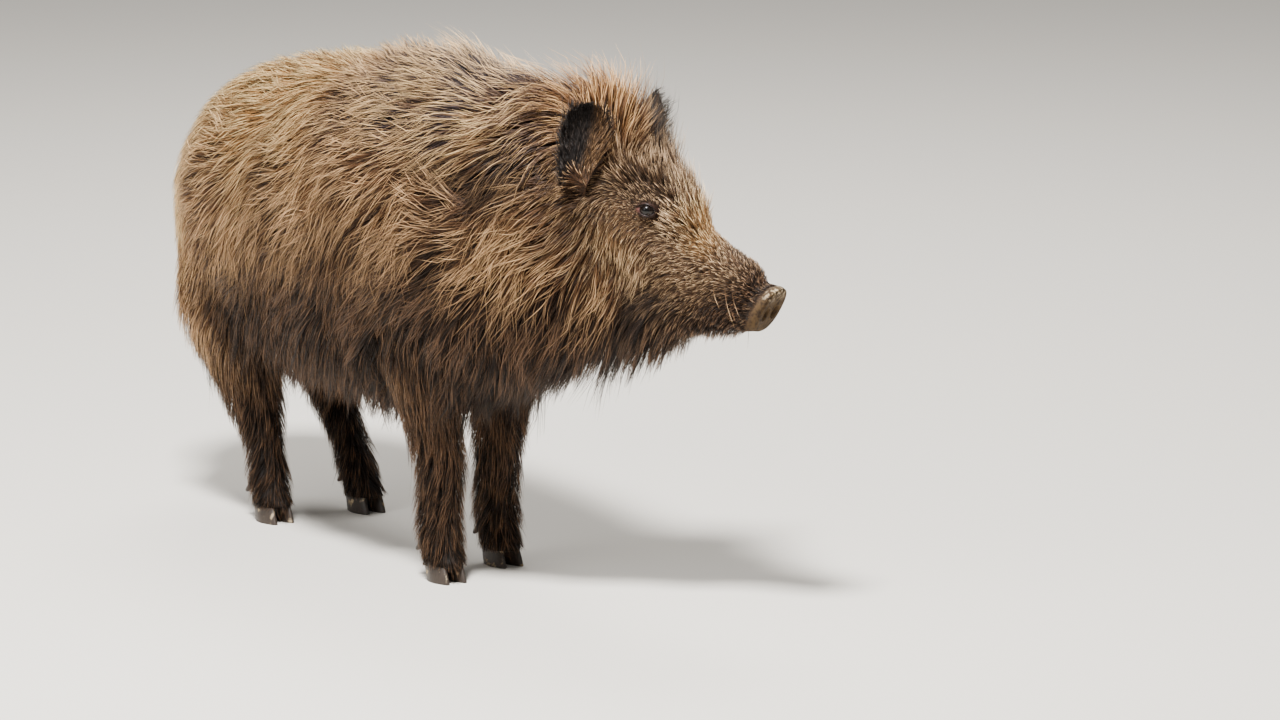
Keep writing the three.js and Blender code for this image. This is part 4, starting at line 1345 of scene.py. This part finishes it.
def makeCoatMaterial():
    # hair in its markings, a little smoother where it is wet
    made, tree, shader = newMaterial("boarCoat", Roughness=coatLook["rough"], Specular_IOR_Level=0.2)
    colour = markedColour(tree, attributeNode(tree, "rootToTip"), attributeNode(tree, "tint"))
    shine = mathNode(tree, "MULTIPLY", attributeNode(tree, "wet"), coatLook["wetShine"])
    rough = mathNode(tree, "SUBTRACT", coatLook["rough"], shine)
    link(tree, (colour, shader.inputs["Base Color"]), (rough, shader.inputs["Roughness"]))
    return made


coatMaterial = makeCoatMaterial()


def noiseNode(tree, scale, detail=3.0, vector=None):
    # soft noise over the object's own coordinates, or over others
    node = tree.nodes.new("ShaderNodeTexNoise")
    vector = vector or tree.nodes.new("ShaderNodeTexCoord").outputs["Object"]
    feed(tree, (scale, node.inputs["Scale"]), (detail, node.inputs["Detail"]),
         (0.6, node.inputs["Roughness"]), (vector, node.inputs["Vector"]))
    return node.outputs["Fac"]


def ranged(tree, value, fromLow, fromHigh, toLow=0.0, toHigh=1.0):
    # a soft step of the value from one range to another
    node = tree.nodes.new("ShaderNodeMapRange")
    node.interpolation_type = "SMOOTHSTEP"
    labels = ("Value", "From Min", "From Max", "To Min", "To Max")
    feed(tree, *zip((value, fromLow, fromHigh, toLow, toHigh), (node.inputs[label] for label in labels)))
    return node.outputs["Result"]


def bumped(tree, shader, height, distance, strength):
    # the shader's normal tipped by a height
    bump = tree.nodes.new("ShaderNodeBump")
    feed(tree, (distance, bump.inputs["Distance"]), (strength, bump.inputs["Strength"]),
         (height, bump.inputs["Height"]), (bump.outputs[0], shader.inputs["Normal"]))


mudValues = {
    "dark": (120, 100, 74), "pale": (196, 176, 142), "detail": 5.0, "fineScale": 420,
    "level": 0.72, "fill": 0.7, "edge": 9.0,  # the noise's level without mud, how far it falls, its edge
}


def driedMudGroup():
    # thin mud dried on in specks and patches: noise over a level that falls with the amount, with
    # an edge of its own, and its pale colour
    v = mudValues
    inputs = [("Amount", "NodeSocketFloat", 0.5), ("Scale", "NodeSocketFloat", 90.0)]
    outputs = [("Mask", "NodeSocketFloat"), ("Color", "NodeSocketColor")]
    tree, into, outOf = newGroup("driedMud", inputs, outputs)
    place = tree.nodes.new("ShaderNodeTexCoord").outputs["Object"]
    patches = tree.nodes.new("ShaderNodeTexNoise")
    feed(tree, (v["detail"], patches.inputs["Detail"]), (place, patches.inputs["Vector"]),
         (into.outputs["Scale"], patches.inputs["Scale"]))
    filled = mathNode(tree, "MULTIPLY", into.outputs["Amount"], v["fill"])
    level = mathNode(tree, "MULTIPLY", mathNode(tree, "SUBTRACT", 1.0, filled), v["level"])
    over = mathNode(tree, "SUBTRACT", patches.outputs["Fac"], level)
    mask = tree.nodes.new("ShaderNodeClamp")
    fine = noiseNode(tree, v["fineScale"], 2.0, place)
    shade = mixColour(tree, fine, linear(*v["dark"]), linear(*v["pale"]))
    link(tree, (mathNode(tree, "MULTIPLY", over, v["edge"]), mask.inputs["Value"]),
         (mask.outputs[0], outOf.inputs["Mask"]), (shade, outOf.inputs["Color"]))
    return tree


driedMud = driedMudGroup()


def mudOver(tree, colour, amount, scale, where=None):
    # the colour with mud over it; the mask also says where it is dull
    group = tree.nodes.new("ShaderNodeGroup")
    group.node_tree = driedMud
    feed(tree, (scale, group.inputs["Scale"]), (amount, group.inputs["Amount"]))
    mask = group.outputs["Mask"]
    if where is not None:
        mask = mathNode(tree, "MULTIPLY", mask, where)
    return mixColour(tree, mask, colour, group.outputs["Color"]), mask


# deep is painted shade inside the nostrils
hideValues = {
    "disc": (74, 57, 36), "discDark": (36, 27, 20), "lid": (44, 31, 27), "rosy": (122, 72, 62),
    "deep": (20, 14, 11), "mudAmount": 0.42, "mudScale": 190, "speckle": 700, "blotches": 160,
    "grain": 620, "rough": 0.8, "wetShine": 0.4, "bump": 0.0003, "bumpStrength": 0.6,
}


def makeHideMaterial():
    # furred skin in the coat's own markings with their painted light and shade, dark lids, the bare
    # wet disc of the snout, and painted shade inside the nostrils
    v = hideValues
    made, tree, shader = newMaterial("boarHide", Specular_IOR_Level=0.16)
    speckle = noiseNode(tree, v["speckle"], 2.0)
    colour = markedColour(tree, ranged(tree, speckle, 0.3, 0.75, 0.02, 0.5), 0.0)
    blotches = ranged(tree, noiseNode(tree, v["blotches"], 4.0), 0.35, 0.7)
    disc = mixColour(tree, blotches, linear(*v["disc"]), linear(*v["discDark"]))
    disc, mud = mudOver(tree, disc, v["mudAmount"], v["mudScale"], attributeNode(tree, "discRim"))
    colour = mixColour(tree, attributeNode(tree, "bare"), colour, disc)
    lid = attributeNode(tree, "lid")
    colour = mixColour(tree, lid, colour, linear(*v["lid"]))
    # the rosy corner of the eye, and painted shade deep inside the nostrils
    for name in ("rosy", "deep"):
        colour = mixColour(tree, attributeNode(tree, name), colour, linear(*v[name]))
    shine = mathNode(tree, "MULTIPLY", mathNode(tree, "MAXIMUM", mud, lid), v["wetShine"])
    grain = tree.nodes.new("ShaderNodeTexVoronoi")
    feed(tree, (v["grain"], grain.inputs["Scale"]), (colour, shader.inputs["Base Color"]),
         (tree.nodes.new("ShaderNodeTexCoord").outputs["Object"], grain.inputs["Vector"]),
         (mathNode(tree, "SUBTRACT", v["rough"], shine), shader.inputs["Roughness"]))
    height = mathNode(tree, "ADD", grain.outputs["Distance"], speckle)
    bumped(tree, shader, height, v["bump"], v["bumpStrength"])
    return made


skinPiece.data.materials.clear()
skinPiece.data.materials.append(makeHideMaterial())


# The coat

coatValues = {"tuftsToLock": 6, "share": 1.16, "guardShare": 0.47, "short": False}
coatLayers = {
    # dark hair that lies low, and the light-tipped hair that rides over it
    "Under": {"rings": 2, "ride": (0.6, 1.0), "sink": 1.0, "pull": 1.0, "tone": (0.22, 0.5),
              "width": 1.05, "tint": 0.1, "lockShade": 1.0, "longer": 0.0},
    "Guard": {"rings": 3, "ride": (0.85, 1.12), "sink": 0.55, "pull": 0.6, "tone": (0.78, 1.0),
              "width": 0.92, "tint": 0.9, "lockShade": 0.3, "longer": 0.24},
}
coatCuts = {"rump": -470, "shoulder": -130, "neckLean": 0.3, "neckStart": 30, "longHair": 24}
rump, shoulder = along < coatCuts["rump"], along >= coatCuts["shoulder"]
flank = ~rump & ~shoulder
leftFlank, leftShoulder = ownY >= 0, ownY >= coatCuts["neckLean"] * (ownX - coatCuts["neckStart"])
longHair = hair["length"] > coatCuts["longHair"]
coatPieces = [
    ("coatRump", trunkOnly * rump, {}, "coat"),
    ("coatFlankRight", trunkOnly * flank * ~leftFlank, {}, "coat"),
    ("coatFlankLeft", trunkOnly * flank * leftFlank, {}, "coat"),
    ("coatShoulderRight", trunkOnly * shoulder * ~leftShoulder, {}, "coat"),
    ("coatShoulderLeft", trunkOnly * shoulder * leftShoulder, {}, "coat"),
    ("coatHead", headOnly * longHair, {}, "face_coat"),
    ("coatFace", headOnly * ~longHair, {"tuftsToLock": 4, "short": True}, "face_coat"),
    ("coatFrontLegs", legOnly - hindOnly, {"share": 0.95}, "dark_coat"),
    ("coatHindLegs", hindOnly, {"share": 0.9}, "dark_coat"),
    ("coatEars", earOnly, {"share": 0.7, "short": True}, "ear_hair"),
    ("coatTail", tailOnly, {}, "dark_coat"),
]


def growCoat(name, weight, changes, slot):
    # as many tufts as the density over the piece's area asks for, in locks: dark hair, then guard hair
    v = {**coatValues, **changes}
    amount = (faceArea * (weight * hair["density"])[corners].mean(1)).sum() * v["share"]
    locks = locksOf(weight, max(round(amount / v["tuftsToLock"]), 4))
    for label, share in (("Under", 1 - v["guardShare"]), ("Guard", v["guardShare"])):
        layer = {**coatLayers[label], **({"rings": 2} if v["short"] else {})}
        tuftsPiece(name + label, *tuftPaths(v, layer, weight, locks, round(amount * share)), slot)


for row in coatPieces:
    growCoat(*row)
print("coat done")


# Whiskers and lashes

def strandPaths(root, onward, length, bend, rings):
    # each hair runs from its root along `onward` and bends away steadily: root + L (d s + b s s)
    share = np.linspace(0, 1, rings + 1)[None, :, None]
    return root[:, None] + length[:, None, None] * (onward[:, None] * share + bend[:, None] * share ** 2)


def looseHairs(name, root, onward, length, bend, width, tint, rings, slot, tone=1.0):
    # single hairs as a piece of the coat, coloured as the skin's nearest points are
    path = strandPaths(root, onward, length, bend, rings)
    normals = np.repeat(unit(np.cross(onward, [0.3, 0.2, 1.0]))[:, None], rings + 1, 1)
    vertex = np.array([((own - spot) ** 2).sum(1).argmin() for spot in root])
    return tuftsPiece(name, path, normals, vertex, width, tint, np.full(len(root), tone), slot)


def headVector(v):
    # from (forward, out, up) of the head to the body's own axes
    return v[..., :1] * headForward + v[..., 1:2] * headLeft + v[..., 2:] * headUp


lashValues = {
    "upper": 44, "lower": 16, "length": 13, "lowerShare": 0.6, "spread": (0.7, 1.25), "width": 0.75,
    "rings": 4, "tint": -3.0, "tone": 0.2, "slitOut": 1.06, "slitUp": 1.12, "onLid": 0.8,
    "fan": 0.5, "upperFan": 0.28, "lowerFan": -0.5, "upperBend": -0.62, "lowerBend": 0.1, "sag": -0.1,
}


def lashes(side):
    # rows on both lids, fanning out; the upper ones arch over the eye
    v, lid = lashValues, lidValues
    gaze, slit, across = eyeAxes(side)
    count = v["upper"] + v["lower"]
    upper = np.arange(count) < v["upper"]
    turn = np.where(upper, np.linspace(0.1, 0.9 * count / v["upper"], count) * math.pi,
                    -rng.uniform(0.25, 0.75, count) * math.pi)
    x = np.cos(turn) * lid["halfLong"] * v["slitOut"]
    y = np.sin(turn) * np.where(upper, lid["halfUpper"], lid["halfLower"]) * v["slitUp"]
    ball = eyeValues["radius"] + lid["lid"] * v["onLid"]
    z = np.sqrt(np.maximum(ball ** 2 - x * x - y * y, 4))
    away = x[:, None] * slit + y[:, None] * across + z[:, None] * gaze
    root = headPoint(eyeValues["back"], side * eyeValues["out"], eyeValues["up"]) + headVector(away)
    fan = np.where(upper, v["upperFan"], v["lowerFan"])[:, None] * across
    fan = np.cos(turn)[:, None] * slit * v["fan"] + fan + gaze
    onward = unit(headVector(fan) + rng.normal(0, 0.12, (count, 3)))
    bend = np.where(upper, v["upperBend"], v["lowerBend"])[:, None] * headVector(across) + [0, 0, v["sag"]]
    length = np.where(upper, v["length"], v["length"] * v["lowerShare"]) * rng.uniform(*v["spread"], count)
    width, tint = np.full(count, v["width"]), np.full(count, v["tint"])
    return root, onward, length, bend, width, tint, v["rings"], "ear_hair", v["tone"]


for side, label in ((-1, "Right"), (1, "Left")):
    looseHairs("lashes" + label, *lashes(side))

whiskerValues = {
    "count": 12, "length": (14, 30), "width": 0.8, "rings": 6, "tints": (-2.0, 0.0, 1.0),
    "back": (30, 120), "out": 8, "below": -24,  # where they grow
    "forwards": (-0.5, 0.3), "down": -0.5, "stray": 0.15, "bendBack": (0.05, 0.4), "bendDown": -0.45,
    # back, up and length of the few long pale ones
    "long": [(78, -22, 58), (64, -26, 40), (92, -34, 34), (58, -44, 30)],
    "longWidth": 1.15, "longTint": 2.5, "longLift": 0.55, "longForwards": 0.42, "longIn": 0.3,
}


def whiskers(side):
    # stiff bristles on the upper lip and the chin, sweeping back and down, and a few long ones
    # that curve down and forwards
    v, few = whiskerValues, whiskerValues["count"]
    outside = headOut * side
    at = (headOnly > 0) & (headBack > v["back"][0]) & (headBack < v["back"][1])
    at = at & (outside > v["out"]) & (headHigh < v["below"])
    vertex = rng.choice(np.flatnonzero(at), few, replace=False)
    onward = unit(skin["normal"][vertex] + headForward * rng.uniform(*v["forwards"], (few, 1))
                  + [0, 0, v["down"]] + rng.normal(0, v["stray"], (few, 3)))
    bend = -headForward * rng.uniform(*v["bendBack"], (few, 1)) + [0, 0, v["bendDown"]]
    length = rng.uniform(*v["length"], few)
    tint = rng.choice(v["tints"], few)
    back, up, long = np.array(v["long"], float).T
    near = np.array([(np.hypot(headBack - b, headHigh - u) + 999 * (outside < 5)).argmin()
                     for b, u in zip(back, up)])
    down = unit(skin["normal"][near] * v["longLift"] + [0, 0, -1.0])
    curve = headForward * v["longForwards"] - v["longIn"] * skin["normal"][near]
    width = np.append(np.full(few, v["width"]), np.full(len(near), v["longWidth"]))
    tint = np.append(tint, np.full(len(near), v["longTint"]))
    root, onward = np.concatenate([own[vertex], own[near]]), np.concatenate([onward, down])
    length, bend = np.concatenate([length, long]), np.concatenate([bend, curve])
    return root, onward, length, bend, width, tint, v["rings"], "face_coat"


for side, label in ((-1, "Right"), (1, "Left")):
    looseHairs("whiskers" + label, *whiskers(side))
print("whiskers and lashes done")

# Eyes

eyeballValues = {
    "cornea": 0.055, "corneaEdge": (40, 8), "gap": 0.1, "points": 48,
    "front": (1.5, 60, 26), "rear": (66, 178.5, 14),  # degrees off the line of sight: first, last, rings
    "iris": 60, "irisSoft": 3, "pupil": (26, 16), "pupilWithin": 40, "streaks": 23,
    "irisDark": (14, 9, 7), "irisPale": (26, 16, 11), "whiteDark": (30, 22, 19), "whitePale": (52, 38, 33),
    "pupilColour": (6, 5, 5),
}


def eyeball(name, side):
    # a ball whose clear front bulges a little: rings of polar angle round the line of sight
    v = eyeballValues
    gaze, slit, across = (headVector(axis) for axis in eyeAxes(side))
    degrees = np.concatenate([np.linspace(*v["front"]), np.linspace(*v["rear"])])[:, None]
    polar, turn = np.radians(degrees), np.arange(v["points"])[None] / v["points"] * tau
    bulge = 1 + v["cornea"] * smooth(degrees, *v["corneaEdge"])
    x, y = np.sin(polar) * np.cos(turn), np.sin(polar) * np.sin(turn)
    ring = np.stack([x * bulge, y * bulge, np.cos(polar) * bulge + 0 * turn], -1)
    ring = ring * (eyeValues["radius"] - v["gap"])
    points = ring[..., :1] * slit + ring[..., 1:2] * across + ring[..., 2:] * gaze
    points += headPoint(eyeValues["back"], side * eyeValues["out"], eyeValues["up"])
    piece = makeMesh(name, toFrame(points).reshape(-1, 3), ringFaces(*points.shape[:2]))
    shadeSmooth(piece.data)
    wide, tall = np.sin(np.radians(v["pupil"]))
    pupil = (np.hypot(x / wide, y / tall) < 1) & (degrees < v["pupilWithin"])
    iris = smooth(degrees, v["iris"] + v["irisSoft"], v["iris"] - v["irisSoft"]) + 0 * turn
    streak = (np.sin(turn * v["streaks"]) * 0.5 + 0.5) + 0 * polar
    setValues(piece.data, iris=iris, pupil=pupil, streak=streak)
    return turnOutwards(piece)


def makeEyeMaterial():
    # a dark brown iris and a black pupil under a thin clear coat
    v = eyeballValues
    made, tree, shader = newMaterial("boarEye", Roughness=0.25, Specular_IOR_Level=0.2, Coat_Weight=0.3,
                                     Coat_Roughness=0.03)
    iris = mixColour(tree, attributeNode(tree, "streak"), linear(*v["irisDark"]), linear(*v["irisPale"]))
    white = mixColour(tree, noiseNode(tree, 300), linear(*v["whiteDark"]), linear(*v["whitePale"]))
    colour = mixColour(tree, attributeNode(tree, "iris"), white, iris)
    colour = mixColour(tree, attributeNode(tree, "pupil"), colour, linear(*v["pupilColour"]))
    link(tree, (colour, shader.inputs["Base Color"]))
    return made


eyeMaterial = makeEyeMaterial()
for name, side in (("Right", -1), ("Left", 1)):
    ball = eyeball("eyeball" + name, side)
    ball.data.materials.append(eyeMaterial)
    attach(ball, "root")
    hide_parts("eye_" + name.lower())
print("eyes done")


# Hooves

hoofValues = {
    "length": 56, "width": 24, "height": 40, "spacing": 14, "ahead": 6, "slope": 14, "shrink": 0.3,
    "point": 0.35, "rings": 22, "points": 40, "growth": 0.22, "growthStep": 5.2,
    "edge": (0.86, 0.97), "edgeRise": (0, 0),  # size and height of the sole's rounded edge
}
dewclawValues = {
    "radius": 8.3, "tip": 2.8, "length": 32, "height": 50, "behind": 34, "spread": 17,
    "backTilt": 0.7, "outTilt": 0.35, "rings": 14, "points": 20, "growth": 0.1, "growthTurns": 40,
    "edge": (0.3, 0.7, 0.92), "edgeRise": (0, 0.02, 0.07),
}
hornValues = {"dark": (26, 22, 20), "pale": (66, 55, 46), "streaks": 420, "stretch": (1, 1, 0.12),
              "mudAmount": 0.24, "mudScale": 90, "rough": 0.42, "mudRough": 0.9, "bump": 0.0006}


def footMiddle(name):
    # where the middle of a foot stands: forwards, and out to its side
    table, side, footX, _ = legValues[name]
    _, ahead, out, *_ = legValues[table][-1]
    return footX + ahead, side * out


def edged(v, start):
    # rings from the blunt edge up: their height as a share, and their size; angles round them
    plain = v["rings"] - len(v["edge"])
    share = np.concatenate([v["edgeRise"], np.linspace(start, 1, plain)])[:, None]
    size = np.concatenate([v["edge"], np.ones(plain)])[:, None]
    return share, size, np.arange(v["points"])[None] / v["points"] * tau


def toeRings(name, across):
    # a pointed oval sole that shrinks and slopes back as it rises, its edge rounded and its
    # wall faintly ringed
    v = hoofValues
    footX, footY = footMiddle(name)
    rise, sole, angle = edged(v, 0.02)
    ripples = v["growth"] * (np.sin(tau * rise * v["height"] / v["growthStep"]) - 1) * (rise > 0.01)
    size = (1 - v["shrink"] * rise ** 2) / 2 * sole
    ahead = np.cos(angle)
    narrow = 1 - v["point"] * np.maximum(ahead, 0)
    x = footX + v["ahead"] - v["slope"] * rise + ahead * (v["length"] * size + ripples)
    y = footY + across * v["spacing"] + np.sin(angle) * narrow * (v["width"] * size + ripples)
    return np.stack([x, y, rise * v["height"] + 0 * angle], -1)


def dewclawRings(name, across):
    # a blunt cone, its tip down and back
    v = dewclawValues
    footX, footY = footMiddle(name)
    share, blunt, angle = edged(v, 0.14)
    radius = (v["tip"] + (v["radius"] - v["tip"]) * share) * blunt
    radius = radius - v["growth"] * (1 + np.sin(share * v["growthTurns"]))
    height = (share - 0.5) * v["length"] + 0 * angle
    cone = np.stack([radius * np.cos(angle), radius * np.sin(angle), height], -1)
    cone = turnAbout(turnAbout(cone, 1, v["backTilt"]), 0, across * v["outTilt"])
    return cone + [footX - v["behind"], footY + across * v["spread"], v["height"]]


def makeHornMaterial():
    # dark horn with pale streaks up and down, and dried mud
    v = hornValues
    made, tree, shader = newMaterial("hoofHorn", Specular_IOR_Level=0.4)
    stretch = tree.nodes.new("ShaderNodeMapping")
    feed(tree, (v["stretch"], stretch.inputs["Scale"]),
         (tree.nodes.new("ShaderNodeTexCoord").outputs["Object"], stretch.inputs["Vector"]))
    streaks = noiseNode(tree, v["streaks"], 3.0, stretch.outputs[0])
    colour = mixColour(tree, streaks, linear(*v["dark"]), linear(*v["pale"]))
    colour, mud = mudOver(tree, colour, v["mudAmount"], v["mudScale"])
    rough = ranged(tree, mud, 0.0, 1.0, v["rough"], v["mudRough"])
    link(tree, (colour, shader.inputs["Base Color"]), (rough, shader.inputs["Roughness"]))
    bumped(tree, shader, streaks, v["bump"], 0.5)
    return made


hornMaterial = makeHornMaterial()
for name in legNames:
    points, faces, start = [], [], 0
    for make in (toeRings, dewclawRings):
        for across in (1, -1):
            rings = make(name, across)
            points.append(toFrame(rings).reshape(-1, 3))
            faces += [[i + start for i in face] for face in ringFaces(*rings.shape[:2])]
            start += len(points[-1])
    hooves = makeMesh(name + "_hooves", np.concatenate(points), faces)
    shadeSmooth(hooves.data)
    turnOutwards(hooves)
    hooves.data.materials.append(hornMaterial)
    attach(hooves, "root")
    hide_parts(*[f"{name}_{where}_{kind}" for where in ("inner", "outer")
                          for kind in ("hoof", "dewclaw")])
print("hooves done")

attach(skinPiece, "root")
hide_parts("trunk", "neck", "head", "jaw", "nose", "tail", "ear_right", "ear_left",
            *[f"{name}_{part}_leg" for name in legNames for part in ("upper", "lower")])


# Camera, floor and light

viewValues = {
    "azimuth": 58, "elevation": 11, "away": 10.0, "lens": 196.875, "sensor": 36, "clip": (0.1, 200),
    "shiftRight": 0.2357, "shiftDown": 0.3029,  # of the picture's middle from the front feet, metres
    "floor": 60, "floorColour": (214, 208, 198),
}


def viewAxes(azimuth, elevation):
    # away from what is looked at, to the right and up; azimuth 0 looks along +Y
    a, e = math.radians(azimuth), math.radians(elevation)
    back = np.array([math.sin(a) * math.cos(e), -math.cos(a) * math.cos(e), math.sin(e)])
    right = np.array([math.cos(a), math.sin(a), 0])
    return back, right, np.cross(back, right)


def turnedTo(right, up, back, place):
    # looks against `back`, from a place
    return Matrix(np.vstack([np.column_stack([right, up, back, place]), [0, 0, 0, 1]]).tolist())


def makeCamera():
    # a long lens, aimed by the middle of the front feet
    v = viewValues
    back, right, up = viewAxes(v["azimuth"], v["elevation"])
    feet = [boxMiddle(n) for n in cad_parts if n.startswith("front") and n.endswith("hoof")]
    anchor = np.mean(feet, 0) * [1, 1, 0]
    place = anchor + back * v["away"] + right * v["shiftRight"] + up * v["shiftDown"]
    camera = linked("camera", bpy.data.cameras.new("camera"))
    camera.data.lens, camera.data.sensor_width = v["lens"], v["sensor"]
    camera.data.clip_start, camera.data.clip_end = v["clip"]
    camera.matrix_world = turnedTo(right, up, back, place)
    bpy.context.scene.camera = camera


def makeFloor():
    # a wide pale floor
    half = viewValues["floor"]
    corners = np.array([(-half, -half, 0), (half, -half, 0), (half, half, 0), (-half, half, 0)], float)
    floor = makeMesh("floor", corners, [[0, 1, 2, 3]])
    pale, _, _ = newMaterial("paleFloor", Roughness=0.9, Specular_IOR_Level=0.2,
                             Base_Color=linear(*viewValues["floorColour"]))
    floor.data.materials.append(pale)


lightValues = {
    "aim": (0, 0, 0.45), "world": 0.34,
    # azimuth, elevation, distance, size, watts
    "lamps": {"key": (46, 60, 4.5, 0.8, 800), "fill": (5, 32, 5.0, 2.5, 90),
              "rim": (235, 50, 4.5, 2.0, 170)},
}


def makeLights():
    # area lamps turned to the animal's middle, and an even white world
    for name, (azimuth, elevation, away, size, watts) in lightValues["lamps"].items():
        back, right, up = viewAxes(azimuth, elevation)
        lamp = linked(name, bpy.data.lights.new(name, "AREA"))
        lamp.data.energy, lamp.data.size = watts, size
        lamp.matrix_world = turnedTo(right, up, back, np.array(lightValues["aim"]) + back * away)
    world = bpy.data.worlds.new("studio")
    world.use_nodes = True
    background = world.node_tree.nodes["Background"]
    background.inputs["Color"].default_value = (1, 1, 1, 1)
    background.inputs["Strength"].default_value = lightValues["world"]
    bpy.context.scene.world = world


makeCamera()
makeFloor()
makeLights()
print("stage done")
